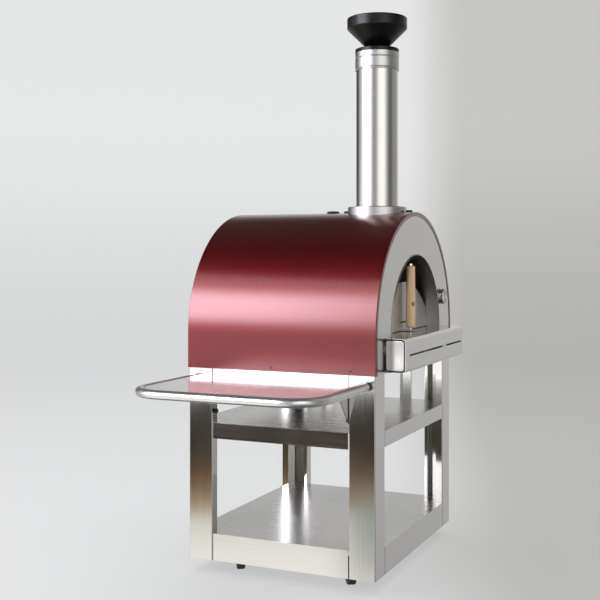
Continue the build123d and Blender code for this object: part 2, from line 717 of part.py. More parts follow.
def side_shelf_panel():
    """The shelf's flat tray with a rim turned down all round."""
    at_rim = Pos(0, 0, TRAY_TOP - TRAY_RIM)
    tray = at_rim * extrude(shelf_outline(FIT), TRAY_RIM)
    return tray - at_rim * extrude(shelf_outline(FIT + SHEET), TRAY_RIM - SHEET)


def side_shelf_plugs():
    """The plugs in the two ends of the tube."""
    tube_end = -HALF_WIDTH - PLUG_LENGTH
    plugs = []
    for y in (-SHELF_ARM_Y, SHELF_ARM_Y):
        head = rod_x(TUBE_RADIUS - FIT, tube_end, -HALF_WIDTH - CUT, y, SHELF_Z)
        spigot = rod_x(TUBE_RADIUS - TUBE_WALL - SNUG_GAP, tube_end - SPIGOT_LENGTH, tube_end, y, SHELF_Z)
        plugs.append(head + spigot)
    return Compound(plugs)


def bracket_span(y, inward):
    """The two faces of a bracket beside a leg lip."""
    return sorted((y + inward * BRACKET_GAP, y + inward * (BRACKET_GAP + BRACKET)))


def side_shelf_bracket(y, inward):
    """A triangular gusset under the shelf, bored for the pivot and the clamp screw."""
    under = TRAY_TOP - SHEET
    inner_x = PIVOT_X + KNOB_RADIUS
    outer_x = -HALF_WIDTH - 2 * SEAM
    tip_x = -HALF_WIDTH - BRACKET_TOP_LENGTH
    shoulder_z = PIVOT_Z + 2 * ROD_RADIUS
    foot_z = KNOB_Z - KNOB_RADIUS - SHEET
    points = [
        (inner_x, foot_z),
        (inner_x, shoulder_z),
        (outer_x, shoulder_z),
        (outer_x, under),
        (tip_x, under),
        (tip_x, under - BRACKET_EDGE),
        (-HALF_WIDTH + SHEET, foot_z),
    ]
    y0, y1 = bracket_span(y, inward)
    plate = extrude(Plane.XZ.offset(-y1) * make_face(Polyline(*points, close=True)), y1 - y0)
    plate -= rod_y(ROD_RADIUS + RUNNING_GAP, PIVOT_X, y0 - CUT, y1 + CUT, PIVOT_Z)
    return plate - rod_y(STUD_RADIUS + RUNNING_GAP, PIVOT_X, y0 - CUT, y1 + CUT, KNOB_Z)


def along_y(radius, x, y0, y1, z):
    """A cylinder along Y whose ends may be given in either order."""
    low, high = sorted((y0, y1))
    return rod_y(radius, x, low, high, z)


def side_shelf_pivots():
    """The two pivot pins, held in the leg lips."""
    head = ROD_RADIUS + ROD_STEP
    washer = BRACKET_GAP - PIVOT_END_PLAY
    bracket_back = BRACKET_GAP + BRACKET + PIVOT_END_PLAY + SNUG_GAP
    pin_end = bracket_back + 2 * SHEET
    pins = []
    for y, inward in pivot_places():
        pin = along_y(ROD_RADIUS, PIVOT_X, y - inward * 2 * SHEET, y + inward * bracket_back, PIVOT_Z)
        pin += along_y(head, PIVOT_X, y, y + inward * washer, PIVOT_Z)
        pin += along_y(head, PIVOT_X, y - inward * 3 * SHEET, y - inward * SHEET, PIVOT_Z)
        pin += along_y(head, PIVOT_X, y + inward * bracket_back, y + inward * pin_end, PIVOT_Z)
        pins.append(pin)
    return Compound(pins)


def bracket_knob(y, inward):
    """A round clamp knob with a stud that ends just short of the leg lip."""
    head_start = BRACKET_GAP + BRACKET + PIVOT_END_PLAY
    stud_end = head_start + CUT / 2
    head_end = head_start + KNOB_LENGTH
    stud = along_y(STUD_RADIUS, PIVOT_X, y + inward * PIVOT_END_PLAY, y + inward * stud_end, KNOB_Z)
    head = along_y(KNOB_RADIUS, PIVOT_X, y + inward * head_start, y + inward * head_end, KNOB_Z)
    return stud + head


def caster_places():
    """The swivel axes of the four casters."""
    places = {}
    for depth_name, y in (("front", -CASTER_Y), ("back", CASTER_Y)):
        for side_name, x in (("left", -CASTER_X), ("right", CASTER_X)):
            places[depth_name + "_" + side_name] = (x, y)
    return places


def caster_plates():
    """The four fixed plates under the lower shelf, each with a kingpin."""
    pin_bottom = CROWN_TOP - 2 * CROWN_THICKNESS
    plates = []
    for x, y in caster_places().values():
        plate = block(x - CASTER_PLATE_X, x + CASTER_PLATE_X, y - CASTER_PLATE_Y, y + CASTER_PLATE_Y,
                      PLATE_TOP - CASTER_SHEET, PLATE_TOP)
        plate += rod_z(RACE_RADIUS, x, y, CROWN_TOP + FIT, PLATE_TOP - CASTER_SHEET)
        plate += rod_z(KINGPIN, x, y, pin_bottom, CROWN_TOP + CUT)
        plate += rod_z(KINGPIN + CROWN_THICKNESS, x, y, pin_bottom, CROWN_TOP - CROWN_THICKNESS - FIT)
        plates.append(plate)
    return Compound(plates)


def at_caster(name, shape):
    """A caster piece drawn with its swivel axis on Z and its trail along +X, put in its place."""
    x, y = caster_places()[name]
    return Pos(x, y, 0) * Rot(0, 0, CASTER_ANGLE) * shape


def caster_fork():
    """The turning fork: a crown with two cheeks that hold the axle."""
    crown_bottom = CROWN_TOP - CROWN_THICKNESS
    outside = CHEEK_INSIDE + CASTER_SHEET
    crown = rod_z(CROWN_RADIUS, 0, 0, crown_bottom, CROWN_TOP)
    crown += block(0, CROWN_RADIUS, -outside, outside, crown_bottom, CROWN_TOP)
    crown -= rod_z(KINGPIN + RUNNING_GAP, 0, 0, crown_bottom - CUT, CROWN_TOP + CUT)
    foot_z = AXLE_Z - AXLE_HEAD
    outline = [
        (-0.7 * CROWN_RADIUS, CROWN_TOP),
        (CROWN_RADIUS, CROWN_TOP),
        (CASTER_TRAIL + HUB_RADIUS, foot_z),
        (CASTER_TRAIL - HUB_RADIUS, foot_z),
    ]
    cheek = make_face(Polyline(*outline, close=True))
    fork = crown
    for y1 in (-CHEEK_INSIDE, outside):
        fork += extrude(Plane.XZ.offset(-y1) * cheek, CASTER_SHEET)
    return fork - rod_y(AXLE + SNUG_GAP, CASTER_TRAIL, -outside - CUT, outside + CUT, AXLE_Z)


def caster_axle():
    """The axle with its two heads."""
    outside = CHEEK_INSIDE + CASTER_SHEET
    axle = rod_y(AXLE, CASTER_TRAIL, -outside - CUT, outside + CUT, AXLE_Z)
    for y0 in (-outside - CASTER_SHEET, outside):
        axle += rod_y(AXLE_HEAD, CASTER_TRAIL, y0, y0 + CASTER_SHEET, AXLE_Z)
    return axle


def caster_wheel():
    """The solid wheel with rounded tread edges and a hub."""
    half = WHEEL_WIDTH / 2
    tread = rod_y(WHEEL_RADIUS, CASTER_TRAIL, -half, half, AXLE_Z)
    tread = fillet(tread.edges().filter_by(GeomType.CIRCLE), WHEEL_ROUND)
    hub = rod_y(HUB_RADIUS, CASTER_TRAIL, -half - HUB_STEP, half + HUB_STEP, AXLE_Z)
    return tread + hub - rod_y(AXLE + RUNNING_GAP, CASTER_TRAIL, -WHEEL_WIDTH, WHEEL_WIDTH, AXLE_Z)


def all_parts():
    """Every named piece of the oven."""
    parts = legs()
    parts["lower_shelf"] = shelf_tray(LOWER_TOP, LOWER_TOP)
    parts["middle_shelf"] = shelf_tray(MIDDLE_TOP, MIDDLE_SKIRT)
    parts["oven_base"] = oven_base()
    parts["side_upright_front"] = side_upright(-UPRIGHT_Y)
    parts["side_upright_back"] = side_upright(UPRIGHT_Y)
    parts["outer_shell"] = outer_shell()
    parts["shell_screws"] = shell_screws()
    parts["front_panel"] = front_panel()
    parts["back_panel"] = back_panel()
    parts["mouth_sleeve"] = mouth_sleeve()
    parts["inner_dome"] = inner_dome()
    parts["dome_back_wall"] = dome_back_wall()
    parts["insulation_blanket"] = insulation_blanket()
    parts["floor_board"] = floor_board()
    parts["hearth_tiles"] = hearth_tiles()
    parts["crest_plugs"] = crest_plugs()
    parts["landing_wrap"] = landing_wrap()
    parts["landing_end_left"] = landing_end(-1)
    parts["landing_end_right"] = landing_end(1)
    parts["door_plate"] = door_plate()
    parts["door_handle_rod"] = door_handle_rod()
    parts["door_handle_grip"] = door_handle_grip()
    parts["door_handle_nut"] = door_handle_nut()
    parts["gauge_case"] = gauge_case()
    parts["gauge_bezel"] = gauge_bezel()
    parts["gauge_lens"] = gauge_lens()
    parts["gauge_dial"] = gauge_dial()
    parts["gauge_needle"] = gauge_needle()
    parts["gauge_probe"] = gauge_probe()
    parts["flue_flange"] = flue_flange()
    parts["flue_pipe"] = flue_pipe()
    parts["flue_collar"] = flue_collar()
    parts["flue_top_ring"] = flue_top_ring()
    parts["chimney_cap"] = chimney_cap()
    parts["cap_holder"] = cap_holder()
    parts["side_shelf_rail"] = side_shelf_rail()
    parts["side_shelf_panel"] = side_shelf_panel()
    parts["side_shelf_plugs"] = side_shelf_plugs()
    parts["side_shelf_pivots"] = side_shelf_pivots()
    for name, (y, inward) in zip(("front", "back"), pivot_places()):
        parts["side_shelf_bracket_" + name] = side_shelf_bracket(y, inward)
        parts["bracket_knob_" + name] = bracket_knob(y, inward)
    parts["caster_plates"] = caster_plates()
    for name in caster_places():
        parts["caster_fork_" + name] = at_caster(name, caster_fork())
        parts["caster_axle_" + name] = at_caster(name, caster_axle())
        parts["caster_wheel_" + name] = at_caster(name, caster_wheel())
    return parts


os.makedirs("parts", exist_ok=True)
for name, shape in all_parts().items():
    export_step(PLACE * shape, "parts/" + name + ".step")
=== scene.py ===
import json
from math import asin, cos, degrees, pi, radians, sin, sqrt, tan

import bmesh
import bpy
from mathutils import Matrix, Vector

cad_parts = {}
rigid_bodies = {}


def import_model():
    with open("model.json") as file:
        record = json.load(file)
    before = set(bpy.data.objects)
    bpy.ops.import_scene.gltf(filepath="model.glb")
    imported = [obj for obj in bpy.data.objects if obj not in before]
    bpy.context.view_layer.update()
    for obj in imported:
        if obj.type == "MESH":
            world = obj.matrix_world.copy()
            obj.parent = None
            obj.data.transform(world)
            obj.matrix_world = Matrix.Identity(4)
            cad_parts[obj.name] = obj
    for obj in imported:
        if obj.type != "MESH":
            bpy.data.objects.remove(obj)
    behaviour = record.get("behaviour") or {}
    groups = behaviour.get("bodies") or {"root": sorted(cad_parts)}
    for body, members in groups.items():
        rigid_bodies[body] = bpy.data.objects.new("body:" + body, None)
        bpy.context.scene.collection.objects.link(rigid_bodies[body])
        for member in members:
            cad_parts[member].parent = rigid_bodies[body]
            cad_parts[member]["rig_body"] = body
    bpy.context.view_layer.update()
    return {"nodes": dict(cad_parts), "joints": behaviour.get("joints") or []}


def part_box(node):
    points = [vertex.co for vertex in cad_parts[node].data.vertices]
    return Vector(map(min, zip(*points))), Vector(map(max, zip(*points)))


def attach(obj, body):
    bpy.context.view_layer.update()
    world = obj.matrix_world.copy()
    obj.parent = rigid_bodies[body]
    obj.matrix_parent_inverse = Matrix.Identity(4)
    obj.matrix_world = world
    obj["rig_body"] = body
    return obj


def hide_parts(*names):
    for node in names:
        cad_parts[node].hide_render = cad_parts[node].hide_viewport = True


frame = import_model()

# Wood fired pizza oven on a rolling steel cart, in metres and in the frame's own axes:
# +Z is up, the mouth faces -Y and the folding shelf is on the -X side.

MM = 0.001
ALONG_X, ALONG_Y, ALONG_Z = range(3)
UP = Vector((0, 0, 1))
TO_BACK = Vector((0, 1, 0))

# ---- sizes read from the frame ----
NODES = frame["nodes"]
SLOTS = {name: node.material_slots[0].material.name for name, node in NODES.items()}
SHELL_LOW, SHELL_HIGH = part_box("outer_shell")
CENTRE_X = (SHELL_LOW.x + SHELL_HIGH.x) / 2
SHELL_RADIUS = (SHELL_HIGH.x - SHELL_LOW.x) / 2
HEARTH_Z = SHELL_HIGH.z - SHELL_RADIUS
LEG_LOW, LEG_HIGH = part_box("leg_front_left")
CART_MIDDLE = (LEG_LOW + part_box("leg_back_right")[1]) / 2
PIPE_LOW, PIPE_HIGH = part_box("flue_pipe")
PIPE_RADIUS = (PIPE_HIGH.x - PIPE_LOW.x) / 2
FLUE_X = (PIPE_LOW.x + PIPE_HIGH.x) / 2
FLUE_Y = (PIPE_LOW.y + PIPE_HIGH.y) / 2
GRIP_LOW, GRIP_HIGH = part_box("door_handle_grip")
GRIP_MIDDLE = (GRIP_LOW + GRIP_HIGH) / 2

# ---- the knot in the wooden grip ----
KNOT_SIZE = (7 * MM, 7 * MM, 10 * MM)
KNOT_PLACE = GRIP_MIDDLE - Vector((11 * MM, 15 * MM, 28 * MM))

# ---- sheet metal ----
SHEET = 2 * MM
BEND = 4 * MM
EDGE = 0.7 * MM
LEG_LIP = 40 * MM
LEG_INNER_LIP = 30 * MM
LEG_RETURN = 15 * MM
RIM_WIDTH = 17 * MM
MOUTH_RADIUS = 300 * MM
SLEEVE_WALL = 2.5 * MM
FIT = 0.5 * MM

# ---- meshes ----
SHARP_ANGLE = radians(40)
MERGE = 0.001 * MM
LARGE_FACES_LEAD = 100
ARCH_STEPS = 120
LATHE_STEPS = 128
BEND_STEPS = 8
SLOT_STEPS = 6


# ======== Mesh tools ========

def rounded(corners, closed=True, steps=BEND_STEPS):
    """Straight lines through (x, y, radius) corners, with an arc of that radius at each corner."""
    points = []
    for i, (x, y, radius) in enumerate(corners):
        here = Vector((x, y))
        is_end = not closed and i in (0, len(corners) - 1)
        if radius == 0 or is_end:
            points.append(here)
            continue
        before = (Vector(corners[i - 1][:2]) - here).normalized()
        after = (Vector(corners[(i + 1) % len(corners)][:2]) - here).normalized()
        half = before.angle(after) / 2
        middle = here + (before + after).normalized() * radius / sin(half)
        spoke = here + before * radius / tan(half) - middle
        turn = pi - 2 * half
        if before.x * after.y - before.y * after.x > 0:
            turn = -turn
        for step in range(steps + 1):
            points.append(middle + Matrix.Rotation(turn * step / steps, 2) @ spoke)
    return points


def thickened(path, thickness):
    """The closed section of a sheet whose left side runs along an open path of 2-D points."""
    inside = []
    for i, point in enumerate(path):
        ahead = (path[min(i + 1, len(path) - 1)] - path[max(i - 1, 0)]).normalized()
        inside.append(point + Vector((-ahead.y, ahead.x)) * thickness)
    return list(path) + inside[::-1]


def arc(x, y, radius, start, end, steps):
    """Points along an arc from one angle to another, with both ends."""
    angles = [start + (end - start) * step / steps for step in range(steps + 1)]
    return [Vector((x + radius * cos(angle), y + radius * sin(angle))) for angle in angles]


def circle(radius, steps, x=0.0, y=0.0):
    """Points round a circle."""
    return arc(x, y, radius, 0, 2 * pi, steps)[:-1]


def rectangle(low, high, radii=(0, 0, 0, 0), steps=BEND_STEPS):
    """A rectangle between two corners. Each corner has its own rounding, in turn from the low one."""
    places = [(low[0], low[1]), (high[0], low[1]), (high[0], high[1]), (low[0], high[1])]
    return rounded([(*place, radius) for place, radius in zip(places, radii)], steps=steps)


def linked(name, data):
    """A new object in the scene."""
    made = bpy.data.objects.new(name, data)
    bpy.context.scene.collection.objects.link(made)
    return made


def evaluated(piece):
    """An object as its curve settings or modifiers shape it."""
    return piece.evaluated_get(bpy.context.evaluated_depsgraph_get())


def mesh_from(bm):
    """A mesh from a bmesh, with doubled points merged and the faces turned outwards."""
    bmesh.ops.remove_doubles(bm, verts=bm.verts, dist=MERGE)
    bmesh.ops.recalc_face_normals(bm, faces=bm.faces)
    mesh = bpy.data.meshes.new("mesh")
    bm.to_mesh(mesh)
    bm.free()
    return mesh


def ring_mesh(rings, closed=False, caps=False):
    """A skin over rings with equal numbers of points, as a loop of rings or with flat ends."""
    bm = bmesh.new()
    rows = [[bm.verts.new(point) for point in ring] for ring in rings]
    pairs = list(zip(rows, rows[1:]))
    if closed:
        pairs.append((rows[-1], rows[0]))
    for low, high in pairs:
        for i in range(len(low)):
            j = (i + 1) % len(low)
            bm.faces.new((low[i], low[j], high[j], high[i]))
    if caps:
        bm.faces.new(rows[0])
        bm.faces.new(rows[-1])
    return mesh_from(bm)


def lathe(profile, origin, axis=UP, steps=LATHE_STEPS):
    """A turned shape from (radius, height) points. A profile that leaves the axis is a closed ring."""
    turn = UP.rotation_difference(Vector(axis)).to_matrix().to_4x4()
    place = Matrix.Translation(origin) @ turn
    rings = []
    for radius, height in profile:
        ring = circle(max(radius, 0.0), steps)
        rings.append([place @ Vector((point.x, point.y, height)) for point in ring])
    return ring_mesh(rings, closed=profile[0][0] > 0)


def sweep(path, section, up):
    """A section of (outward, along-up) points carried along an open path that lies square to up."""
    rings = []
    last = len(path) - 1
    for i, point in enumerate(path):
        ahead = (path[min(i + 1, last)] - path[max(i - 1, 0)]).normalized()
        side = ahead.cross(up).normalized()
        rings.append([point + side * u + up * v for u, v in section])
    return ring_mesh(rings, caps=True)


def extruded(outline, axis, start, end):
    """A prism of a 2-D outline along one axis. Its x and y follow the other two axes in order."""
    others = [i for i in range(3) if i != axis]
    rings = []
    for level in (start, end):
        ring = []
        for point in outline:
            corner = Vector((0, 0, 0))
            corner[axis] = level
            corner[others[0]] = point[0]
            corner[others[1]] = point[1]
            ring.append(corner)
        rings.append(ring)
    return ring_mesh(rings, caps=True)


def plate(outlines, thickness, place, edge=EDGE):
    """A flat plate with rounded edges. The first outline is its rim and the others are holes."""
    curve = bpy.data.curves.new("plate", "CURVE")
    curve.dimensions = "2D"
    curve.fill_mode = "BOTH"
    curve.extrude = thickness / 2 - edge
    curve.bevel_depth = edge
    curve.bevel_resolution = 2
    curve.offset = -edge
    for outline in outlines:
        spline = curve.splines.new("POLY")
        spline.points.add(len(outline) - 1)
        for target, point in zip(spline.points, outline):
            target.co = (point[0], point[1], 0, 1)
        spline.use_cyclic_u = True
    carrier = linked("plate", curve)
    bm = bmesh.new()
    bm.from_mesh(evaluated(carrier).to_mesh())
    bpy.data.objects.remove(carrier)
    bm.transform(place)
    return mesh_from(bm)


def facing_y(y):
    """A place for a plate drawn as (x, z), standing at y and facing -Y."""
    return Matrix.Translation((0, y, 0)) @ Matrix.Rotation(pi / 2, 4, "X")


def copied(node):
    """A clean copy of a CAD node's mesh, with its flat faces whole."""
    bm = bmesh.new()
    bm.from_mesh(NODES[node].data)
    bmesh.ops.remove_doubles(bm, verts=bm.verts, dist=MERGE)
    flat = radians(0.5)
    bmesh.ops.dissolve_limit(bm, angle_limit=flat, verts=bm.verts, edges=bm.edges)
    mesh = mesh_from(bm)
    if "custom_normal" in mesh.attributes:
        mesh.attributes.remove(mesh.attributes["custom_normal"])
    return mesh


def with_cuts(mesh, cutters):
    """The mesh with the cutter meshes taken away."""
    body = linked("body", mesh)
    tools = []
    for cutter in cutters:
        tool = linked("cutter", cutter)
        cut = body.modifiers.new("cut", "BOOLEAN")
        cut.operation = "DIFFERENCE"
        cut.solver = "EXACT"
        cut.object = tool
        tools.append(tool)
    bpy.context.view_layer.update()
    bm = bmesh.new()
    bm.from_mesh(evaluated(body).to_mesh())
    for made in tools + [body]:
        bpy.data.objects.remove(made)
    return mesh_from(bm)


def joined(meshes):
    """One mesh that holds several."""
    bm = bmesh.new()
    for mesh in meshes:
        bm.from_mesh(mesh)
    return mesh_from(bm)


def add_piece(name, mesh, finish, node, stands_for=(), edge=0.0):
    """A shown piece on the body of a CAD node, with rounded edges if an edge width is given."""
    piece = linked(name, mesh)
    mesh.materials.clear()
    mesh.materials.append(finish)
    mesh.polygons.foreach_set("use_smooth", [True] * len(mesh.polygons))
    if edge:
        bevel = piece.modifiers.new("edges", "BEVEL")
        bevel.width = edge
        bevel.segments = 2
        bevel.limit_method = "ANGLE"
        bevel.angle_limit = SHARP_ANGLE
    else:
        mesh.set_sharp_from_angle(angle=SHARP_ANGLE)
    weighted = piece.modifiers.new("normals", "WEIGHTED_NORMAL")
    weighted.keep_sharp = True
    weighted.weight = LARGE_FACES_LEAD
    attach(piece, NODES[node]["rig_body"])
    if stands_for:
        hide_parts(*stands_for)


def replace_node(node, mesh, finish, edge=0.0):
    """A finished piece in the place of one CAD node."""
    add_piece(node + "_finished", mesh, finish, node, [node], edge)


# ======== Materials ========

class Nodes:
    """Short calls for building a node tree."""

    def __init__(self, tree):
        self.tree = tree

    def add(self, kind, **settings):
        node = self.tree.nodes.new("ShaderNode" + kind)
        for key, value in settings.items():
            setattr(node, key, value)
        return node

    def link(self, output, socket):
        self.tree.links.new(output, socket)

    def mapped(self, space, kind="POINT", **settings):
        """The places of a texture space, through a mapping."""
        place = self.add("TexCoord")
        mapping = self.add("Mapping", vector_type=kind)
        for key, value in settings.items():
            mapping.inputs[key].default_value = value
        self.link(place.outputs[space], mapping.inputs["Vector"])
        return mapping.outputs["Vector"]

    def turned_axes(self, space, turn):
        """The x, y and z of a texture space, turned about the upright axis."""
        split = self.add("SeparateXYZ")
        self.link(self.mapped(space, Rotation=(0, 0, -turn)), split.inputs["Vector"])
        return split.outputs

    def remap(self, value, low, high, source=(0.3, 0.7), interpolation="LINEAR"):
        """A value brought from one range to another."""
        node = self.add("MapRange", interpolation_type=interpolation)
        node.inputs["From Min"].default_value = source[0]
        node.inputs["From Max"].default_value = source[1]
        node.inputs["To Min"].default_value = low
        node.inputs["To Max"].default_value = high
        self.link(value, node.inputs["Value"])
        return node.outputs["Result"]

    def colours(self, value, stops):
        """A colour ramp over (position, colour) stops."""
        node = self.add("ValToRGB")
        ramp = node.color_ramp
        while len(ramp.elements) < len(stops):
            ramp.elements.new(0.5)
        for element, (position, colour) in zip(ramp.elements, stops):
            element.position = position
            element.color = (*colour, 1.0)
        self.link(value, node.inputs["Fac"])
        return node.outputs["Color"]

    def math(self, operation, first, second=0.0):
        node = self.add("Math", operation=operation)
        for socket, value in zip(node.inputs, (first, second)):
            if isinstance(value, (int, float)):
                socket.default_value = value
            else:
                self.link(value, socket)
        return node.outputs["Value"]

    def shared(self, first, second, share):
        """Two values added, the first with the given share and the second with the rest."""
        return self.math("ADD", self.math("MULTIPLY", first, share), self.math("MULTIPLY", second, 1 - share))

    def mixed(self, factor, under, over):
        """One colour over another, where the factor is one."""
        node = self.add("Mix", data_type="RGBA")
        self.link(factor, node.inputs[0])
        for socket, colour in ((node.inputs[6], under), (node.inputs[7], over)):
            if isinstance(colour, tuple):
                socket.default_value = (*colour, 1.0)
            else:
                self.link(colour, socket)
        return node.outputs[2]


class Finish(Nodes):
    """A principled material with short calls for the textures that drive it."""

    def __init__(self, name, **fixed):
        self.material = bpy.data.materials.new(name)
        self.material.use_nodes = True
        super().__init__(self.material.node_tree)
        self.shader = self.tree.nodes["Principled BSDF"]
        for key, value in fixed.items():
            self.shader.inputs[key.replace("_", " ")].default_value = value

    def noise(self, *scale, detail=3.0):
        """Noise in the piece's own coordinates, in cycles per metre, all round or for each axis."""
        place = self.mapped("Object", Scale=scale if len(scale) == 3 else scale * 3)
        noise = self.add("TexNoise")
        noise.inputs["Scale"].default_value = 1.0
        noise.inputs["Detail"].default_value = detail
        self.link(place, noise.inputs["Vector"])
        return noise.outputs["Fac"]

    def bump(self, height, depth, normal=None):
        """A bump of a given depth in metres, on top of another one if given."""
        node = self.add("Bump")
        node.inputs["Distance"].default_value = depth
        self.link(height, node.inputs["Height"])
        if normal is not None:
            self.link(normal, node.inputs["Normal"])
        return node.outputs["Normal"]

    def drive(self, **sources):
        """Connects outputs to the shader's inputs by name."""
        for key, output in sources.items():
            self.link(output, self.shader.inputs[key.replace("_", " ")])
        return self.material


def shaded(tone, factor):
    """A colour scaled by a factor."""
    return tuple(channel * factor for channel in tone)


PALE_STEEL = (0.60, 0.59, 0.57)
GREY_STEEL = (0.54, 0.535, 0.53)
DARK_STEEL = (0.42, 0.42, 0.415)
BRIGHT_STEEL = (0.66, 0.655, 0.645)


def brushed_steel(name, grain, tone=PALE_STEEL, gloss=0.09, spread=0.05, dull_top=0.0):
    """Stainless sheet with a fine grain along one axis, faint clouds, and use-worn tops if given."""
    finish = Finish(name, Metallic=1.0)
    fine_scale = [1100.0] * 3
    streak_scale = [260.0] * 3
    fine_scale["XYZ".index(grain)] = 9.0
    streak_scale["XYZ".index(grain)] = 1.6
    fine = finish.noise(*fine_scale, detail=4.0)
    streaks = finish.noise(*streak_scale, detail=2.0)
    clouds = finish.noise(4.0, detail=4.0)
    grain_mix = finish.shared(streaks, fine, 0.6)
    rough = finish.math("ADD", finish.remap(grain_mix, gloss, gloss + spread),
                        finish.remap(clouds, -0.015, 0.02))
    if dull_top:
        facing = finish.add("SeparateXYZ")
        finish.link(finish.add("NewGeometry").outputs["Normal"], facing.inputs["Vector"])
        worn = finish.remap(facing.outputs["Z"], 0.0, dull_top, (0.5, 0.9))
        rough = finish.math("ADD", rough, worn)
    return finish.drive(
        Base_Color=finish.colours(grain_mix, [(0.25, shaded(tone, 0.92)), (0.75, shaded(tone, 1.06))]),
        Roughness=rough,
        Normal=finish.bump(fine, 0.003 * MM, finish.bump(streaks, 0.005 * MM)),
    )


def polished_steel(name, gloss=0.09, film=0.0):
    """Bright steel with a faint haze, fine scratches, long shallow waves, and a film of dust if given."""
    finish = Finish(name, Metallic=1.0 - film)
    haze = finish.noise(7.0, detail=5.0)
    waves = finish.noise(5.0, detail=1.0)
    scratches = finish.noise(900.0, 60.0, 400.0)
    return finish.drive(
        Base_Color=finish.colours(haze, [(0.3, shaded(BRIGHT_STEEL, 0.96)), (0.7, BRIGHT_STEEL)]),
        Roughness=finish.remap(haze, gloss - 0.03, gloss + 0.05),
        Normal=finish.bump(scratches, 0.002 * MM, finish.bump(waves, 0.25 * MM)),
    )


def red_enamel():
    """Metallic red paint: flakes under a thick clear coat, with a slight orange peel."""
    coat = {"Coat_Weight": 1.0, "Coat_Roughness": 0.17, "Coat_IOR": 1.55}
    finish = Finish("red_metallic_paint", Metallic=0.9, **coat)
    flakes = finish.noise(900.0, detail=2.0)
    mottle = finish.noise(120.0)
    clouds = finish.noise(3.0)
    peel = finish.noise(350.0, detail=1.0)
    grain = finish.shared(flakes, mottle, 0.5)
    return finish.drive(
        Base_Color=finish.colours(grain, [(0.3, (0.09, 0.0012, 0.002)), (0.7, (0.165, 0.004, 0.007))]),
        Roughness=finish.math("ADD", finish.remap(grain, 0.38, 0.47), finish.remap(clouds, -0.02, 0.02)),
        Normal=finish.bump(mottle, 0.05 * MM),
        Coat_Normal=finish.bump(peel, 0.01 * MM),
    )


def satin_paint(name, tone, gloss, grit=500.0, depth=0.02, shine=0.5):
    """A smooth painted or moulded surface with fine grit and light dust."""
    finish = Finish(name, Specular_IOR_Level=shine)
    fine = finish.noise(grit)
    dust = finish.noise(18.0, detail=6.0)
    return finish.drive(
        Base_Color=finish.colours(dust, [(0.35, tone), (0.75, shaded(tone, 1.5))]),
        Roughness=finish.math("ADD", finish.remap(dust, gloss - 0.05, gloss + 0.08),
                              finish.remap(fine, -0.03, 0.03)),
        Normal=finish.bump(fine, depth * MM),
    )


def zinc_plate():
    """Dull zinc-plated steel."""
    finish = Finish("dark_zinc_plate", Metallic=0.85)
    spangle = finish.noise(160.0, detail=4.0)
    return finish.drive(
        Base_Color=finish.colours(spangle, [(0.3, (0.1, 0.1, 0.11)), (0.7, (0.2, 0.2, 0.21))]),
        Roughness=finish.remap(spangle, 0.32, 0.5),
        Normal=finish.bump(spangle, 0.03 * MM),
    )


def oiled_wood():
    """Pale oiled wood with upright grain, pores and one dark knot."""
    finish = Finish("oiled_wood", Coat_Weight=0.15, Coat_Roughness=0.35)
    figure = finish.noise(130.0, 130.0, 5.0)
    pores = finish.noise(1500.0, 1500.0, 45.0, detail=2.0)
    tint = finish.noise(25.0, 25.0, 4.0, detail=2.0)
    wood = finish.colours(finish.shared(figure, tint, 0.7), [
        (0.34, (0.55, 0.35, 0.19)), (0.5, (0.72, 0.50, 0.30)), (0.66, (0.80, 0.62, 0.41))])
    from_knot = finish.mapped("Object", "TEXTURE", Location=KNOT_PLACE, Scale=KNOT_SIZE)
    length = finish.add("VectorMath", operation="LENGTH")
    finish.link(from_knot, length.inputs[0])
    ragged = finish.math("ADD", length.outputs["Value"], finish.remap(pores, -0.35, 0.35))
    mark = finish.remap(ragged, 1.0, 0.0, source=(0.45, 1.15))
    return finish.drive(
        Base_Color=finish.mixed(mark, wood, (0.10, 0.045, 0.02)),
        Roughness=finish.remap(pores, 0.45, 0.62),
        Normal=finish.bump(pores, 0.06 * MM, finish.bump(figure, 0.12 * MM)),
    )


def wool_felt():
    """Fibrous insulation."""
    finish = Finish("insulation_wool")
    fibres = finish.noise(300.0, 900.0, 300.0, detail=6.0)
    lumps = finish.noise(40.0, detail=4.0)
    return finish.drive(
        Base_Color=finish.colours(fibres, [(0.3, (0.62, 0.60, 0.54)), (0.7, (0.84, 0.82, 0.76))]),
        Roughness=finish.remap(fibres, 0.85, 1.0),
        Normal=finish.bump(fibres, 0.8 * MM, finish.bump(lumps, 3 * MM)),
    )


def fired_clay(name, tone, spots):
    """Refractory clay or board with grog spots, pits and patches of soot."""
    finish = Finish(name)
    grog = finish.noise(spots, detail=5.0)
    soot = finish.noise(6.0, detail=5.0)
    body = finish.shared(grog, soot, 0.6)
    return finish.drive(
        Base_Color=finish.colours(body, [(0.32, shaded(tone, 0.6)), (0.5, tone), (0.7, shaded(tone, 1.15))]),
        Roughness=finish.remap(grog, 0.75, 0.95),
        Normal=finish.bump(grog, 0.4 * MM),
    )


def clear_glass():
    """The thermometer's glass, as a thin clear sheet that still mirrors the lights."""
    finish = Finish("gauge_glass", Base_Color=(1, 1, 1, 1), Alpha=0.07, IOR=1.5)
    smudge = finish.noise(60.0, detail=4.0)
    return finish.drive(Roughness=finish.remap(smudge, 0.02, 0.09))


def printed_white():
    """The dial's printed face."""
    finish = Finish("dial_white")
    fine = finish.noise(700.0, detail=2.0)
    return finish.drive(
        Base_Color=finish.colours(fine, [(0.3, (0.80, 0.80, 0.78)), (0.7, (0.88, 0.88, 0.86))]),
        Roughness=finish.remap(fine, 0.4, 0.5),
    )


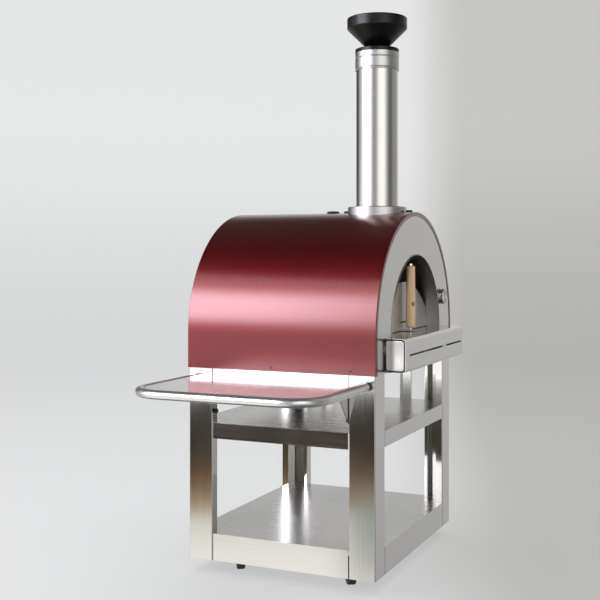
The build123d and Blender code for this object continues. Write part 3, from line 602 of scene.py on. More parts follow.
STEEL_UP = brushed_steel("steel_grain_up", "Z")
STEEL_ACROSS = brushed_steel("steel_grain_across", "X")
STEEL_DEEP = brushed_steel("steel_grain_deep", "Y")
STEEL_BRIGHT = polished_steel("steel_polished")
STEEL_PANEL = brushed_steel("steel_panels", "Z", gloss=0.2, spread=0.07)
STEEL_LEG = brushed_steel("steel_legs", "Z", gloss=0.06, spread=0.03)
STEEL_TRAY = brushed_steel("steel_trays", "Y", gloss=0.06, spread=0.04, dull_top=0.18)
STEEL_SHELF = polished_steel("steel_side_shelf", gloss=0.14, film=0.26)
STEEL_TUBE = polished_steel("steel_side_tube", gloss=0.27, film=0.08)
STEEL_DOOR = brushed_steel("steel_door", "X", gloss=0.42, spread=0.06)
STEEL_SLEEVE = brushed_steel("steel_sleeve", "Y", DARK_STEEL, gloss=0.3, spread=0.08)
STEEL_PIPE = brushed_steel("steel_pipe", "Z", gloss=0.16, spread=0.06)
STEEL_RING = brushed_steel("steel_flue_ring", "Z", GREY_STEEL, gloss=0.3, spread=0.06)
RED = red_enamel()
BLACK_PAINT = satin_paint("black_paint", (0.003, 0.003, 0.0033), 0.3, shine=0.28)
BLACK_PLASTIC = satin_paint("black_plastic", (0.015, 0.015, 0.015), 0.42, grit=900.0, depth=0.04)
SCREW_BLACK = satin_paint("blackened_screws", (0.03, 0.03, 0.033), 0.34)
RUBBER = satin_paint("wheel_rubber", (0.018, 0.018, 0.018), 0.6, grit=300.0, depth=0.1)
ZINC = zinc_plate()
WOOD = oiled_wood()
DIAL_WHITE = printed_white()
GLASS = clear_glass()

CARRIED_OVER = {
    "brushed_steel": STEEL_UP,
    "polished_steel": STEEL_BRIGHT,
    "red_enamel": RED,
    "black_paint": BLACK_PAINT,
    "dark_zinc": ZINC,
    "black_plastic": BLACK_PLASTIC,
    "light_wood": WOOD,
    "gauge_glass": GLASS,
    "white_dial": DIAL_WHITE,
    "needle_paint": BLACK_PAINT,
    "insulation_wool": wool_felt(),
    "insulation_board": fired_clay("insulation_board", (0.62, 0.58, 0.5), 250.0),
    "refractory_tile": fired_clay("refractory_tile", (0.5, 0.36, 0.22), 180.0),
    "wheel_rubber": RUBBER,
}


def finish_cad_nodes():
    """Gives every CAD node its procedural finish in place of the plain one."""
    for name, node in NODES.items():
        for slot in node.material_slots:
            slot.material = CARRIED_OVER[SLOTS[name]]


# ======== Oven body ========

def arch_outline(radius, bottom):
    """Up one side, over the vault and down the other side, as (x, z) points."""
    vault = arc(CENTRE_X, HEARTH_Z, radius, pi, 0, ARCH_STEPS)
    return [Vector((CENTRE_X - radius, bottom)), *vault, Vector((CENTRE_X + radius, bottom))]


def arch_path(radius, bottom):
    """The same arch as a path in the upright plane through the origin."""
    return [Vector((point.x, 0, point.y)) for point in arch_outline(radius, bottom)]


def outer_shell():
    """The vaulted red skin with a rolled return rim at each end."""
    front, back = SHELL_LOW.y, SHELL_HIGH.y
    corner = 3 * MM
    hem = 0.8 * MM
    section = rounded([
        (0, front, corner), (0, back, corner), (-RIM_WIDTH, back, hem), (-RIM_WIDTH, back - SHEET, hem),
        (-SHEET, back - SHEET, SHEET / 2), (-SHEET, front + SHEET, SHEET / 2),
        (-RIM_WIDTH, front + SHEET, hem), (-RIM_WIDTH, front, hem),
    ], steps=5)
    skin = sweep(arch_path(SHELL_RADIUS, SHELL_LOW.z), section, TO_BACK)
    hole = circle(PIPE_RADIUS + 2 * FIT, LATHE_STEPS, FLUE_X, FLUE_Y)
    cutter = extruded(hole, ALONG_Z, HEARTH_Z, SHELL_HIGH.z + RIM_WIDTH)
    replace_node("outer_shell", with_cuts(skin, [cutter]), RED)


def end_panels():
    """The brushed front with the round mouth, and the plain back."""
    mouth = arch_outline(MOUTH_RADIUS, HEARTH_Z - SHEET - FIT)
    for node, holes, edge in (("front_panel", [mouth], 1.3 * MM), ("back_panel", [], EDGE)):
        low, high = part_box(node)
        rim = arch_outline((high.x - low.x) / 2, low.z)
        mesh = plate([rim, *holes], high.y - low.y, facing_y((low.y + high.y) / 2), edge)
        replace_node(node, mesh, STEEL_PANEL)


def mouth_sleeve():
    """The round tunnel of the mouth, with a rolled front lip and the flange behind it."""
    low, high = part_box("mouth_sleeve")
    front, back = low.y, high.y
    radius = MOUTH_RADIUS - FIT
    reach = (high.x - low.x) / 2 - radius
    lip = 1.2 * MM
    section = rounded([
        (0, front, lip), (0, back - SHEET, EDGE), (reach, back - SHEET, EDGE), (reach, back, EDGE),
        (-SLEEVE_WALL, back, EDGE), (-SLEEVE_WALL, front, lip),
    ], steps=5)
    mesh = sweep(arch_path(radius, HEARTH_Z + FIT), section, TO_BACK)
    replace_node("mouth_sleeve", mesh, STEEL_SLEEVE)


def screw_head(place, axis, radius, height):
    """A button head with a round socket."""
    socket = radius * 0.5
    depth = height * 0.55
    profile = rounded([(0, height - depth, 0), (socket, height - depth, 0), (socket, height, 0.2 * MM),
                       (radius * 0.75, height, radius * 0.3), (radius, height * 0.3, radius * 0.2),
                       (radius, 0, 0), (0, 0, 0)], closed=False, steps=4)
    return lathe(profile, place, axis, steps=36)


def shell_screws():
    """The button-headed screws along the lower edges of the shell."""
    screw_radius = 4.6 * MM
    low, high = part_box("shell_screws")
    height = (high.x - low.x) / 2 - SHELL_RADIUS
    heads = []
    for side in (-1, 1):
        for y in (low.y + screw_radius, (low.y + high.y) / 2, high.y - screw_radius):
            place = Vector((CENTRE_X + side * SHELL_RADIUS, y, (low.z + high.z) / 2))
            heads.append(screw_head(place, (side, 0, 0), screw_radius, height))
    replace_node("shell_screws", joined(heads), SCREW_BLACK)


def crest_plugs():
    """The three low plugs on the crest, the widest one at the back."""
    low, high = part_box("crest_plugs")
    front, middle, back = 13 * MM, 11 * MM, 25 * MM
    behind_flue = 129 * MM
    drop = 4 * MM
    height = high.z - SHELL_HIGH.z + drop
    plugs = []
    for y, radius in ((low.y + front, front), (FLUE_Y + behind_flue, middle), (high.y - back, back)):
        profile = rounded([(0, 0, 0), (radius, 0, 0), (radius, height * 0.8, 1.5 * MM),
                           (radius * 0.8, height, 2 * MM), (0, height, 0)], closed=False, steps=5)
        plugs.append(lathe(profile, (FLUE_X, y, SHELL_HIGH.z - drop), steps=64))
    replace_node("crest_plugs", joined(plugs), BLACK_PAINT)


# ======== Chimney ========

def turned_about_flue(profile):
    """A turned mesh on the flue's axis, from a profile of (radius, world height) points."""
    return lathe(profile, (FLUE_X, FLUE_Y, 0))


def flue_flange():
    """The polished foot ring, cut below to the curve of the vault."""
    low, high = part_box("flue_flange")
    outer = (high.x - low.x) / 2
    inner = PIPE_RADIUS + FIT
    roundings = (0, 0, 4.5 * MM, 1 * MM)
    mesh = turned_about_flue(rectangle((inner, low.z), (outer, high.z), roundings, steps=6))
    for vertex in mesh.vertices:
        across = vertex.co.x - CENTRE_X
        vault = HEARTH_Z + sqrt(SHELL_RADIUS ** 2 - across ** 2)
        vertex.co.z = max(vertex.co.z, vault)
    replace_node("flue_flange", mesh, STEEL_RING)


def flue_pipe():
    """The long brushed pipe."""
    low, high = (PIPE_RADIUS - SHEET, PIPE_LOW.z), (PIPE_RADIUS, PIPE_HIGH.z)
    mesh = turned_about_flue(rectangle(low, high, [EDGE] * 4, steps=3))
    replace_node("flue_pipe", mesh, STEEL_PIPE)


def flue_collar():
    """The sleeve at the top of the pipe, with a rolled groove near each end."""
    low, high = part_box("flue_collar")
    outer = (high.x - low.x) / 2
    inner = PIPE_RADIUS + FIT
    half, depth = 3 * MM, 3.2 * MM
    shoulder = 0.8 * MM
    corners = [(inner, low.z, 0), (outer, low.z, 1 * MM)]
    for middle in (low.z + 6 * MM, high.z - 22 * MM):
        corners += [(outer, middle - half, shoulder), (outer - depth, middle, 2 * MM),
                    (outer, middle + half, shoulder)]
    corners += [(outer, high.z, 0.6 * MM), (inner, high.z, 0)]
    replace_node("flue_collar", turned_about_flue(rounded(corners, steps=5)), STEEL_RING)


def flue_top_ring():
    """The dark ring that ends the pipe."""
    low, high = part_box("flue_top_ring")
    outer = (high.x - low.x) / 2
    wall, crown = 6 * MM, 2.5 * MM
    roundings = (0, 1 * MM, crown, crown)
    mesh = turned_about_flue(rectangle((outer - wall, low.z), (outer, high.z), roundings, steps=5))
    replace_node("flue_top_ring", mesh, BLACK_PAINT)


def chimney_cap():
    """The spun black cap: a cone below a short rim, closed by a shallow lid."""
    low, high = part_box("chimney_cap")
    outer = (high.x - low.x) / 2
    tip = 12 * MM
    rim, lid_edge, lid_rise = 41 * MM, 14 * MM, 8 * MM
    rim_top = high.z - lid_rise
    profile = rounded([(0, low.z, 0), (tip, low.z, 3 * MM), (outer, rim_top - rim, 7 * MM),
                       (outer, rim_top, 4 * MM), (outer - lid_edge, rim_top + 1 * MM, 3 * MM),
                       (0, high.z, 0)], closed=False)
    replace_node("chimney_cap", turned_about_flue(profile), BLACK_PAINT)


# ======== Landing and door ========

# the landing's two slots, each from its start to its end across from the middle
LANDING_SLOTS = ((-329 * MM, 106 * MM), (131 * MM, 347 * MM))
# the share of a slot's half width that rounds its ends, just short of a full half circle
ALMOST_ROUND = 0.98
DOOR_SHEET = 3 * MM
DOOR_TOP_RADIUS = 413 * MM
DOOR_STEPS = 40


def landing():
    """The bent landing with its tongue into the mouth, two front slots and inset end caps."""
    low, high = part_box("landing_wrap")
    bend = 15 * MM
    front_of_panel = SHELL_LOW.y - FIT
    outside = rounded([(-front_of_panel, low.z, 0), (-low.y, low.z, bend), (-low.y, high.z, bend),
                       (-high.y, high.z, 0)], closed=False, steps=12)
    section = [Vector((-point.x, point.y)) for point in thickened(outside, SHEET)]
    tongue = MOUTH_RADIUS - SLEEVE_WALL - 1.5 * MM
    spare = 5 * MM
    cutters = []
    for start, end in ((low.x - spare, CENTRE_X - tongue), (CENTRE_X + tongue, high.x + spare)):
        beside_tongue = rectangle((start, front_of_panel), (end, high.y + spare))
        cutters.append(extruded(beside_tongue, ALONG_Z, HEARTH_Z - bend, HEARTH_Z + spare))
    slot_z = (low.z + high.z) / 2
    slot_half = 3.5 * MM
    for start, end in LANDING_SLOTS:
        slot = rectangle((CENTRE_X + start, slot_z - slot_half), (CENTRE_X + end, slot_z + slot_half),
                         [slot_half * ALMOST_ROUND] * 4, SLOT_STEPS)
        cutters.append(extruded(slot, ALONG_Y, low.y - spare, low.y + spare))
    wrap = with_cuts(extruded(section, ALONG_X, low.x, high.x), cutters)
    replace_node("landing_wrap", wrap, STEEL_ACROSS, edge=0.5 * MM)
    for side in ("left", "right"):
        landing_end("landing_end_" + side)


def landing_end(node):
    """One end cap: a shallow pressed plate with well rounded edges."""
    low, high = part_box(node)
    middle = (low + high) / 2
    half = (high - low) / 2
    outline = rectangle((-half.y, -half.z), (half.y, half.z), [10 * MM] * 4)
    turn = Matrix.Rotation(pi / 2, 4, "Z") @ Matrix.Rotation(pi / 2, 4, "X")
    mesh = plate([outline], high.x - low.x, Matrix.Translation(middle) @ turn, edge=3.5 * MM)
    replace_node(node, mesh, STEEL_PANEL)


def door_outline(low, high):
    """The door's rim: up the sides of the mouth, then over on a flatter arc."""
    radius = (high.x - low.x) / 2
    arc_middle = high.z - DOOR_TOP_RADIUS
    drop = arc_middle - HEARTH_Z
    # the height above the hearth at which the two arcs meet
    meeting = (radius ** 2 - DOOR_TOP_RADIUS ** 2 + drop ** 2) / (2 * drop)
    side = asin(meeting / radius)
    top = asin((meeting - drop) / DOOR_TOP_RADIUS)
    return [
        Vector((CENTRE_X - radius, low.z)),
        Vector((CENTRE_X + radius, low.z)),
        *arc(CENTRE_X, HEARTH_Z, radius, 0, side, DOOR_STEPS)[1:],
        *arc(CENTRE_X, arc_middle, DOOR_TOP_RADIUS, top, pi - top, 2 * DOOR_STEPS)[1:-1],
        *arc(CENTRE_X, HEARTH_Z, radius, pi - side, pi, DOOR_STEPS)[:-1],
    ]


def door_plate():
    """The low arched door with its air slot and the foot that carries the handle."""
    low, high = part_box("door_plate")
    slot_z = HEARTH_Z + 35 * MM
    slot_reach, slot_half = 32 * MM, 2.5 * MM
    slot = rectangle((CENTRE_X - slot_reach, slot_z - slot_half), (CENTRE_X + slot_reach, slot_z + slot_half),
                     [2.4 * MM] * 4, SLOT_STEPS)
    middle_y = high.y - DOOR_SHEET / 2
    standing = plate([door_outline(low, high), slot], DOOR_SHEET, facing_y(middle_y))
    foot_half, corner = 30 * MM, 6 * MM
    foot_outline = rectangle((CENTRE_X - foot_half, low.y), (CENTRE_X + foot_half, middle_y),
                             (corner, corner, 0, 0))
    foot = plate([foot_outline], SHEET, Matrix.Translation((0, 0, low.z + SHEET / 2)))
    replace_node("door_plate", joined([standing, foot]), STEEL_DOOR)


def door_handle():
    """The wooden grip, not quite even, and the nut that holds its rod."""
    radius = (GRIP_HIGH.x - GRIP_LOW.x) / 2
    length = GRIP_HIGH.z - GRIP_LOW.z
    levels, around = 60, 64
    end_round = 4 * MM
    belly, facet, allowance = 0.4 * MM, 0.35 * MM, 1 * MM
    rings = []
    for level in range(levels + 1):
        share = level / levels
        from_end = min(share, 1 - share) * length
        pull = 0.0
        if from_end < end_round:
            pull = end_round - sqrt(end_round ** 2 - (end_round - from_end) ** 2)
        ring = []
        for point in circle(1.0, around):
            whittled = facet * cos(3 * (point.x * 1.3 + point.y) + 4 * share)
            reach = radius - allowance - pull + belly * sin(5 * share) + whittled
            ring.append(Vector((GRIP_MIDDLE.x + point.x * reach, GRIP_MIDDLE.y + point.y * reach,
                                GRIP_LOW.z + length * share)))
        rings.append(ring)
    replace_node("door_handle_grip", ring_mesh(rings, caps=True), WOOD)
    low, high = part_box("door_handle_nut")
    hexagon = circle((high.x - low.x) / 2, 6, GRIP_MIDDLE.x, GRIP_MIDDLE.y)
    replace_node("door_handle_nut", extruded(hexagon, ALONG_Z, low.z, high.z), STEEL_BRIGHT, edge=0.9 * MM)


# ======== Thermometer ========

def thermometer():
    """The dial thermometer on the right of the front panel. Its profiles run out towards -Y."""
    low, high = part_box("gauge_bezel")
    case_low, case_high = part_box("gauge_case")
    middle = Vector(((low.x + high.x) / 2, 0, (low.z + high.z) / 2))
    outer = (high.x - low.x) / 2
    case = (case_high.x - case_low.x) / 2
    face, ring_rear, case_front, rear = -low.y, -high.y, -case_low.y, -case_high.y
    around_case = case + 0.1 * MM
    lip = 2 * MM
    ring = rounded([(outer - 5 * MM, face - lip, 0.8 * MM), (outer - 4 * MM, face, 1 * MM),
                    (outer - 0.5 * MM, face, 2 * MM), (outer, ring_rear, 1 * MM),
                    (around_case, ring_rear, 0), (around_case, face - lip, 0)], steps=5)
    replace_node("gauge_bezel", lathe(ring, middle, -TO_BACK), STEEL_BRIGHT)
    wall, chamfer = 2.5 * MM, 2 * MM
    cup = rounded([(0, rear, 0), (case - chamfer, rear, 0), (case, rear + chamfer, 1.5 * MM),
                   (case, case_front, 0), (case - wall, case_front, 0), (case - wall, rear + wall, 0),
                   (0, rear + wall, 0)], closed=False, steps=4)
    replace_node("gauge_case", lathe(cup, middle, -TO_BACK), STEEL_BRIGHT)
    dial_markings(middle)


def dial_markings(middle):
    """Ticks and plain numbers printed on the dial, with sizes in shares of its radius."""
    dial_low, dial_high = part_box("gauge_dial")
    radius = (dial_high.x - dial_low.x) / 2
    y = dial_low.y - 0.05 * MM
    ink = 0.1 * MM
    start, turn = radians(225), radians(-270)
    divisions, numbers = 50, 5
    rim, text_reach, text_size = 0.9, 0.55, 0.24
    long_tick, short_tick = (0.2, 0.035), (0.1, 0.018)
    marks = []
    for division in range(divisions + 1):
        angle = start + turn * division / divisions
        tick = short_tick if division % (divisions // numbers) else long_tick
        length, width = (radius * share for share in tick)
        outline = rectangle((-length / 2, -ink / 2), (length / 2, ink / 2))
        mark = extruded(outline, ALONG_Z, -width / 2, width / 2)
        mark.transform(Matrix.Translation((middle.x, y, middle.z)) @ Matrix.Rotation(-angle, 4, "Y")
                       @ Matrix.Translation((radius * rim - length / 2, 0, 0)))
        marks.append(mark)
    for number in range(numbers + 1):
        angle = start + turn * number / numbers
        text = bpy.data.curves.new("number", "FONT")
        text.body = str(number * 100)
        text.size = radius * text_size
        text.align_x = "CENTER"
        text.align_y = "CENTER"
        text.extrude = ink / 2
        carrier = linked("number", text)
        bpy.context.view_layer.update()
        mesh = bpy.data.meshes.new_from_object(evaluated(carrier))
        bpy.data.objects.remove(carrier)
        reach = radius * text_reach
        spot = Vector((middle.x + reach * cos(angle), y, middle.z + reach * sin(angle)))
        mesh.transform(Matrix.Translation(spot) @ Matrix.Rotation(pi / 2, 4, "X"))
        marks.append(mesh)
    add_piece("gauge_markings", joined(marks), BLACK_PAINT, "gauge_dial")


# ======== Folding side shelf ========

def side_shelf():
    """The round tube, the polished tray, the end plugs and the knobs on the brackets."""
    low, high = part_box("side_shelf_rail")
    radius = (high.z - low.z) / 2
    middle_z = (low.z + high.z) / 2
    corner = 118 * MM
    outline = rounded([(high.x, low.y + radius, 0), (low.x + radius, low.y + radius, corner),
                       (low.x + radius, high.y - radius, corner), (high.x, high.y - radius, 0)],
                      closed=False, steps=28)
    path = [Vector((point.x, point.y, middle_z)) for point in outline]
    replace_node("side_shelf_rail", sweep(path, circle(radius, 48), UP), STEEL_TUBE)
    shelf_tray()
    for side, y in (("front", low.y + radius), ("back", high.y - radius)):
        shelf_plug(side, Vector((high.x, y, middle_z)), radius)
    for side in ("front", "back"):
        shelf_knob("bracket_knob_" + side)


def shelf_tray():
    """The tray with its edges bent down on a small radius, open below."""
    low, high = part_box("side_shelf_panel")
    corner = 101 * MM
    bend, bend_steps = 1.2 * MM, 6

    def outline(inset, z):
        roundings = (corner - inset, EDGE, EDGE, corner - inset)
        points = rectangle((low.x + inset, low.y + inset), (high.x - inset, high.y - inset), roundings, 24)
        return [Vector((point.x, point.y, z)) for point in points]

    outside = [outline(SHEET, low.z), outline(0.0, low.z)]
    for step in range(bend_steps + 1):
        angle = pi / 2 * step / bend_steps
        outside.append(outline(bend - bend * cos(angle), high.z - bend + bend * sin(angle)))
    under = [outline(SHEET, z) for z in (high.z - SHEET, low.z)]
    bm = bmesh.new()
    bm.from_mesh(ring_mesh(outside))
    for ring in (outside[-1], under[0]):
        bm.faces.new([bm.verts.new(point) for point in ring])
    bm.from_mesh(ring_mesh(under))
    replace_node("side_shelf_panel", mesh_from(bm), STEEL_SHELF)


def shelf_plug(side, tube_end, tube_radius):
    """A black plug with a domed head in one end of the tube."""
    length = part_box("side_shelf_plugs")[1].x - tube_end.x
    radius = tube_radius - 0.6 * MM
    profile = rounded([(0, 0, 0), (radius, 0, 0), (radius, length, 3 * MM), (0, length, 0)],
                      closed=False, steps=8)
    mesh = lathe(profile, tube_end, (1, 0, 0), steps=64)
    stands_for = ["side_shelf_plugs"] if side == "front" else []
    add_piece("side_shelf_plug_" + side, mesh, BLACK_PLASTIC, "side_shelf_plugs", stands_for)


def shelf_knob(node):
    """A lobed clamp knob on its stud."""
    low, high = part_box(node)
    middle = (low + high) / 2
    radius = (high.x - low.x) / 2
    length = high.y - low.y
    start, outwards = (low.y, 1) if node.endswith("front") else (high.y, -1)
    stud, head_start = 3 * MM, 4.5 * MM
    lobes, lobe_depth, lobe_sharpness = 6, 0.07, 0.7
    levels = [(stud, 0.0), (stud, head_start), (radius * 0.7, head_start),
              (radius * 0.96, head_start + 1 * MM), (radius, head_start + 2.5 * MM),
              (radius, length - 2 * MM), (radius * 0.93, length - 0.7 * MM), (radius * 0.7, length),
              (radius * 0.4, length), (radius * 0.35, length - 0.6 * MM)]
    rings = []
    for reach, distance in levels:
        is_rim = distance > head_start and reach > radius * 0.6
        depth = lobe_depth if is_rim else 0.0
        ring = []
        for point in circle(1.0, 96):
            turn = Vector((1, 0)).angle_signed(point)
            lobed = reach * (1 - depth * (1 - abs(cos(lobes * turn / 2)) ** lobe_sharpness))
            ring.append(Vector((middle.x + point.x * lobed, start + outwards * distance,
                                middle.z + point.y * lobed)))
        rings.append(ring)
    replace_node(node, ring_mesh(rings, caps=True), BLACK_PLASTIC)


# ======== Cart ========

def corner_legs():
    """The four bent corner legs."""
    flange = LEG_HIGH.x - LEG_LOW.x
    half_x = CART_MIDDLE.x - LEG_LOW.x
    half_y = CART_MIDDLE.y - LEG_LOW.y
    lip_x = half_x - LEG_LIP
    edge_x = half_x - flange
    edge_y = half_y - flange
    path = rounded([(lip_x, edge_y + LEG_RETURN, 0), (lip_x, edge_y, BEND), (half_x, edge_y, BEND),
                    (half_x, half_y, BEND), (edge_x, half_y, BEND), (edge_x, half_y - LEG_INNER_LIP, 0)],
                   closed=False)
    section = thickened(path, SHEET)
    for depth, side_y in (("front", -1), ("back", 1)):
        for width, side_x in (("left", -1), ("right", 1)):
            outline = [CART_MIDDLE.xy + Vector((side_x * point.x, side_y * point.y)) for point in section]
            node = "leg_" + depth + "_" + width
            replace_node(node, extruded(outline, ALONG_Z, LEG_LOW.z, LEG_HIGH.z), STEEL_LEG, edge=0.5 * MM)


def side_uprights():
    """The two channels on the right side, between the middle shelf and the base."""
    for node in ("side_upright_front", "side_upright_back"):
        low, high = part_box(node)
        path = rounded([(low.x, low.y, 0), (high.x, low.y, BEND), (high.x, high.y, BEND), (low.x, high.y, 0)],
                       closed=False)
        mesh = extruded(thickened(path, SHEET), ALONG_Z, low.z, high.z)
        replace_node(node, mesh, STEEL_UP, edge=0.5 * MM)


def folded_sheets():
    """The shelves, the base plate and the brackets: the CAD's own shapes with their edges broken."""
    sheets = {
        "lower_shelf": (STEEL_TRAY, EDGE),
        "middle_shelf": (STEEL_TRAY, EDGE),
        "oven_base": (STEEL_DEEP, EDGE),
        "side_shelf_bracket_front": (STEEL_UP, 0.6 * MM),
        "side_shelf_bracket_back": (STEEL_UP, 0.6 * MM),
    }
    for node, (finish, edge) in sheets.items():
        replace_node(node, copied(node), finish, edge)


def casters():
    """The four casters: plain forks and two-part wheels on the frame's own axles."""
    wheel_low, wheel_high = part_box("caster_wheel_front_left")
    wheel_radius = (wheel_high.z - wheel_low.z) / 2
    axes = {joint["child"]: joint["axis"] for joint in frame["joints"]}
    tyre_half, hub_half, disc_half = 16 * MM, 19 * MM, 4 * MM
    tyre_inner = wheel_radius * 0.76
    bore, boss = 5.1 * MM, 12 * MM
    shoulder = tyre_half - 2 * MM
    roundings = (1 * MM, 6 * MM, 6 * MM, 1 * MM)
    tyre = rectangle((tyre_inner, -tyre_half), (wheel_radius, tyre_half), roundings)
    half_hub = [
        (bore, hub_half, 0.5 * MM), (boss, hub_half, 1 * MM), (boss + 1 * MM, disc_half, 3 * MM),
        (tyre_inner - 5 * MM, disc_half, 3 * MM), (tyre_inner - 3 * MM, shoulder, 1 * MM),
        (tyre_inner, shoulder, 0)]
    mirrored = [(reach, -height, radius) for reach, height, radius in half_hub]
    hub = rounded(mirrored + half_hub[::-1], steps=4)
    for place in ("front_left", "front_right", "back_left", "back_right"):
        fork = "caster_fork_" + place
        replace_node(fork, copied(fork), ZINC)
        wheel = "caster_wheel_" + place
        low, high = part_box(wheel)
        middle = (low + high) / 2
        axis = Vector(axes["wheel_" + place])
        replace_node(wheel, lathe(tyre, middle, axis), RUBBER)
        add_piece("caster_hub_" + place, lathe(hub, middle, axis), BLACK_PLASTIC, wheel)


# ======== Stage, light and camera ========

HEADING = radians(24.337)
CAMERA_PLACE = Vector((-3.5985, -1.5747, 1.1974))
LENS = 61.694
LENS_SHIFT = -0.0762
# the way in which painted shade darkens the paper, and the stretches across and up over which the painted
# shade and the painted glow change
PAPER_TURN = radians(17.3)
PAPER_SHADE_SPAN = (-0.95, -0.05)
PAPER_GLOW_RISE = (0.0, 3.0)
# each light as its place, the width of its square panel and its power in watts
LIGHTS = {
    "overhead": ((CENTRE_X, CART_MIDDLE.y, 6.0), 6.0, 230),
    "left_fill": ((-3.0, 3.2, 3.0), 3.0, 60),
    "camera_fill": ((-3.5, -4.0, 3.2), 2.5, 60),
}
LIGHTS_AIM = Vector((CENTRE_X, CART_MIDDLE.y, 0.9))
EVEN_LIGHT = (0.95, 0.97, 1.0, 1.0)
EVEN_STRENGTH = 0.5


def band(nodes, value, low, high, soft):
    """One between two limits and nought outside them, with soft edges."""
    rise = nodes.remap(value, 0.0, 1.0, (low - soft, low + soft), "SMOOTHSTEP")
    fall = nodes.remap(value, 0.0, 1.0, (high - soft, high + soft), "SMOOTHSTEP")
    return nodes.math("SUBTRACT", rise, fall)


def grey(level):
    """A neutral colour."""
    return (level, level, level)


def mirrored_studio(nodes):
    """The studio that the steel mirrors: bright softboxes, flags between them and a dark side.

    It is drawn over the turn from the camera's side of the oven, to the left of it positive, and over
    the height above the horizon, both in degrees.
    """
    axes = nodes.turned_axes("Generated", HEADING + pi)
    turn = nodes.math("MULTIPLY", nodes.math("ARCTAN2", axes["Y"], axes["X"]), degrees(1))
    rise = nodes.math("MULTIPLY", nodes.math("ARCSINE", axes["Z"]), degrees(1))

    view = nodes.colours(nodes.remap(rise, 0.0, 1.0, (-90, 90)), [
        (0.0, grey(0.08)), (0.2, grey(0.12)), (0.36, grey(0.45)), (0.47, grey(0.62)),
        (0.597, grey(0.74)), (0.64, grey(0.4)), (0.675, grey(0.13)), (0.72, grey(0.06)), (0.86, grey(0.04))])
    # each area as its limits in turn and in rise, the softness of both, and its colour
    areas = [
        ((-168, -122), (-4, 70), (10, 8), grey(0.09)),
        ((-110, -38), (-9, 4), (8, 2), grey(1.3)),
        ((-110, -38), (-9, -5.6), (8, 1), grey(2.0)),
        ((-93, -38), (4, 46), (14, 3), grey(2.0)),
        ((-84, -46), (8, 32), (8, 6.5), (11.0, 11.0, 12.4)),
        ((-30, -12), (-6, 50), (7, 8), grey(0.42)),
        ((0, 42), (-8, 45), (9, 8), (1.7, 1.69, 1.66)),
        ((56, 92), (-30, 60), (8, 8), (0.2, 0.2, 0.195)),
        ((92, 128), (-30, 60), (6, 8), (0.42, 0.41, 0.38)),
    ]
    for (start, end), (low, high), (turn_soft, rise_soft), colour in areas:
        mask = nodes.math("MULTIPLY", band(nodes, turn, start, end, turn_soft),
                          band(nodes, rise, low, high, rise_soft))
        view = nodes.mixed(mask, view, colour)

    # the floor on the left: light paper at the oven's foot, then brown boards that go dark
    depth = nodes.remap(rise, 0.0, 1.0, (-18.0, -8.0))
    boards = nodes.colours(depth, [
        (0.12, (1.35, 1.34, 1.3)), (0.36, (1.15, 1.12, 1.06)), (0.42, (0.48, 0.36, 0.21)),
        (0.54, (0.28, 0.155, 0.07)), (0.64, (0.09, 0.06, 0.035)), (0.76, (0.045, 0.036, 0.03))])
    stone = nodes.colours(depth, [
        (0.04, (1.0, 0.99, 0.95)), (0.15, (0.59, 0.60, 0.56)), (0.26, (0.47, 0.55, 0.52)),
        (0.38, (0.48, 0.55, 0.51)), (0.49, (0.36, 0.29, 0.22)), (0.60, (0.15, 0.09, 0.05)),
        (0.70, (0.055, 0.038, 0.024)), (0.8, (0.04, 0.034, 0.026))])
    nearer = nodes.remap(turn, 0.0, 1.0, (-46.8, -45.2))
    on_left = nodes.math("MULTIPLY", band(nodes, turn, -110, -18, 8), band(nodes, rise, -60, -7.4, 0.25))
    return nodes.mixed(on_left, view, nodes.mixed(nearer, boards, stone))


def area_light(name, place, width, power):
    """A soft square light aimed at the oven, unseen in mirrors."""
    light = bpy.data.lights.new(name, "AREA")
    light.size = width
    light.energy = power
    holder = linked(name, light)
    holder.location = place
    holder.rotation_euler = (LIGHTS_AIM - Vector(place)).to_track_quat("-Z", "Y").to_euler()
    holder.visible_camera = False
    holder.visible_glossy = False


def studio_paper():
    """Pale seamless paper, a little darker to the right of the camera from painted shade, with a painted glow
    that stands in for the light on it.
    """
    finish = Finish("studio_paper", Specular_IOR_Level=0.0, Roughness=1.0)
    finish.shader.inputs["Emission Strength"].default_value = 1.0
    axes = finish.turned_axes("Object", PAPER_TURN)
    # painted shade: the paper darkens across, towards the right of the camera
    across = finish.remap(axes["Y"], 0.0, 1.0, PAPER_SHADE_SPAN, "SMOOTHSTEP")
    grain = finish.noise(40.0)
    tone = finish.math("ADD", across, finish.remap(grain, -0.004, 0.004))
    # the painted glow changes from the floor's to the wall's as the paper rises
    upright = finish.remap(axes["Z"], 0.0, 1.0, PAPER_GLOW_RISE, "SMOOTHSTEP")
    # painted shade: the paper's own colour is darker on the right than on the left
    left, right = (0.22, 0.221, 0.223), (0.15, 0.148, 0.143)
    # painted glow that stands in for the light on the paper: darker to the right, brighter up the wall
    floor_glow = finish.colours(tone, [(0.0, (0.345, 0.342, 0.33)), (1.0, (0.51, 0.513, 0.517))])
    wall_glow = finish.colours(tone, [(0.0, (0.47, 0.466, 0.447)), (1.0, (0.64, 0.647, 0.645))])
    return finish.drive(
        Base_Color=finish.colours(tone, [(0.0, right), (1.0, left)]),
        Emission_Color=finish.mixed(upright, floor_glow, wall_glow),
    )


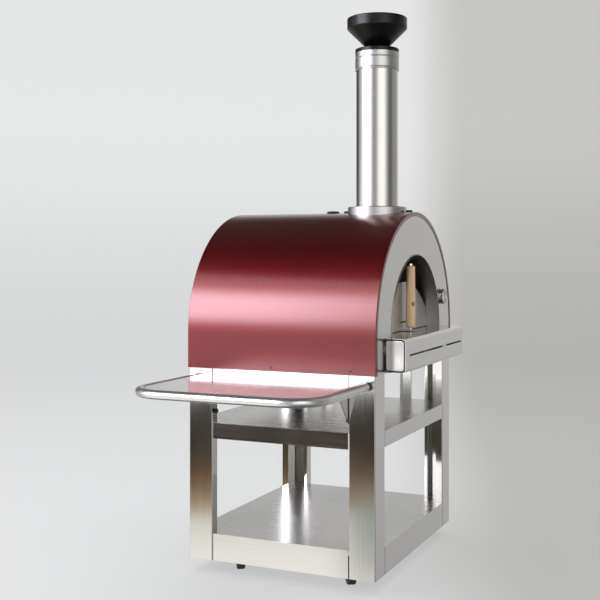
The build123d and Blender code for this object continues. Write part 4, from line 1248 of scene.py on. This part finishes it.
def studio_floor():
    """A pale floor that sweeps up all round."""
    floor_radius, sweep_radius, wall_top = 7.0, 3.0, 9.0
    sweep_up = arc(floor_radius, sweep_radius, sweep_radius, -pi / 2, 0, 24)
    profile = [(0.0, 0.0), *sweep_up, (floor_radius + sweep_radius, wall_top)]
    floor_level = -0.5 * MM
    mesh = lathe(profile, (CENTRE_X, CART_MIDDLE.y, floor_level), steps=96)
    mesh.polygons.foreach_set("use_smooth", [True] * len(mesh.polygons))
    mesh.materials.append(studio_paper())
    bowl = linked("studio_floor", mesh)
    bowl.visible_glossy = False


def studio_world():
    """An even soft light, with the mirrored studio for glossy rays."""
    world = bpy.data.worlds.new("studio")
    bpy.context.scene.world = world
    world.use_nodes = True
    world.cycles.sampling_method = "NONE"
    nodes = Nodes(world.node_tree)
    even = world.node_tree.nodes["Background"]
    even.inputs["Color"].default_value = EVEN_LIGHT
    even.inputs["Strength"].default_value = EVEN_STRENGTH
    mirrored = nodes.add("Background")
    nodes.link(mirrored_studio(nodes), mirrored.inputs["Color"])
    ray = nodes.add("LightPath")
    choice = nodes.add("MixShader")
    nodes.link(ray.outputs["Is Glossy Ray"], choice.inputs["Fac"])
    nodes.link(even.outputs["Background"], choice.inputs[1])
    nodes.link(mirrored.outputs["Background"], choice.inputs[2])
    nodes.link(choice.outputs["Shader"], world.node_tree.nodes["World Output"].inputs["Surface"])


def stage_and_lights():
    """The floor, the surroundings and the lights."""
    studio_floor()
    studio_world()
    for name, (place, width, power) in LIGHTS.items():
        area_light(name, place, width, power)


def camera():
    """A level camera at the front left corner of the oven."""
    data = bpy.data.cameras.new("camera")
    data.lens = LENS
    data.shift_y = LENS_SHIFT
    holder = linked("camera", data)
    holder.location = CAMERA_PLACE
    ahead = Vector((cos(HEADING), sin(HEADING), 0))
    holder.rotation_euler = ahead.to_track_quat("-Z", "Y").to_euler()
    bpy.context.scene.camera = holder


finish_cad_nodes()
outer_shell()
end_panels()
mouth_sleeve()
shell_screws()
crest_plugs()
flue_flange()
flue_pipe()
flue_collar()
flue_top_ring()
chimney_cap()
landing()
door_plate()
door_handle()
thermometer()
side_shelf()
corner_legs()
side_uprights()
folded_sheets()
casters()
stage_and_lights()
camera()
bpy.context.scene.view_settings.view_transform = "Standard"
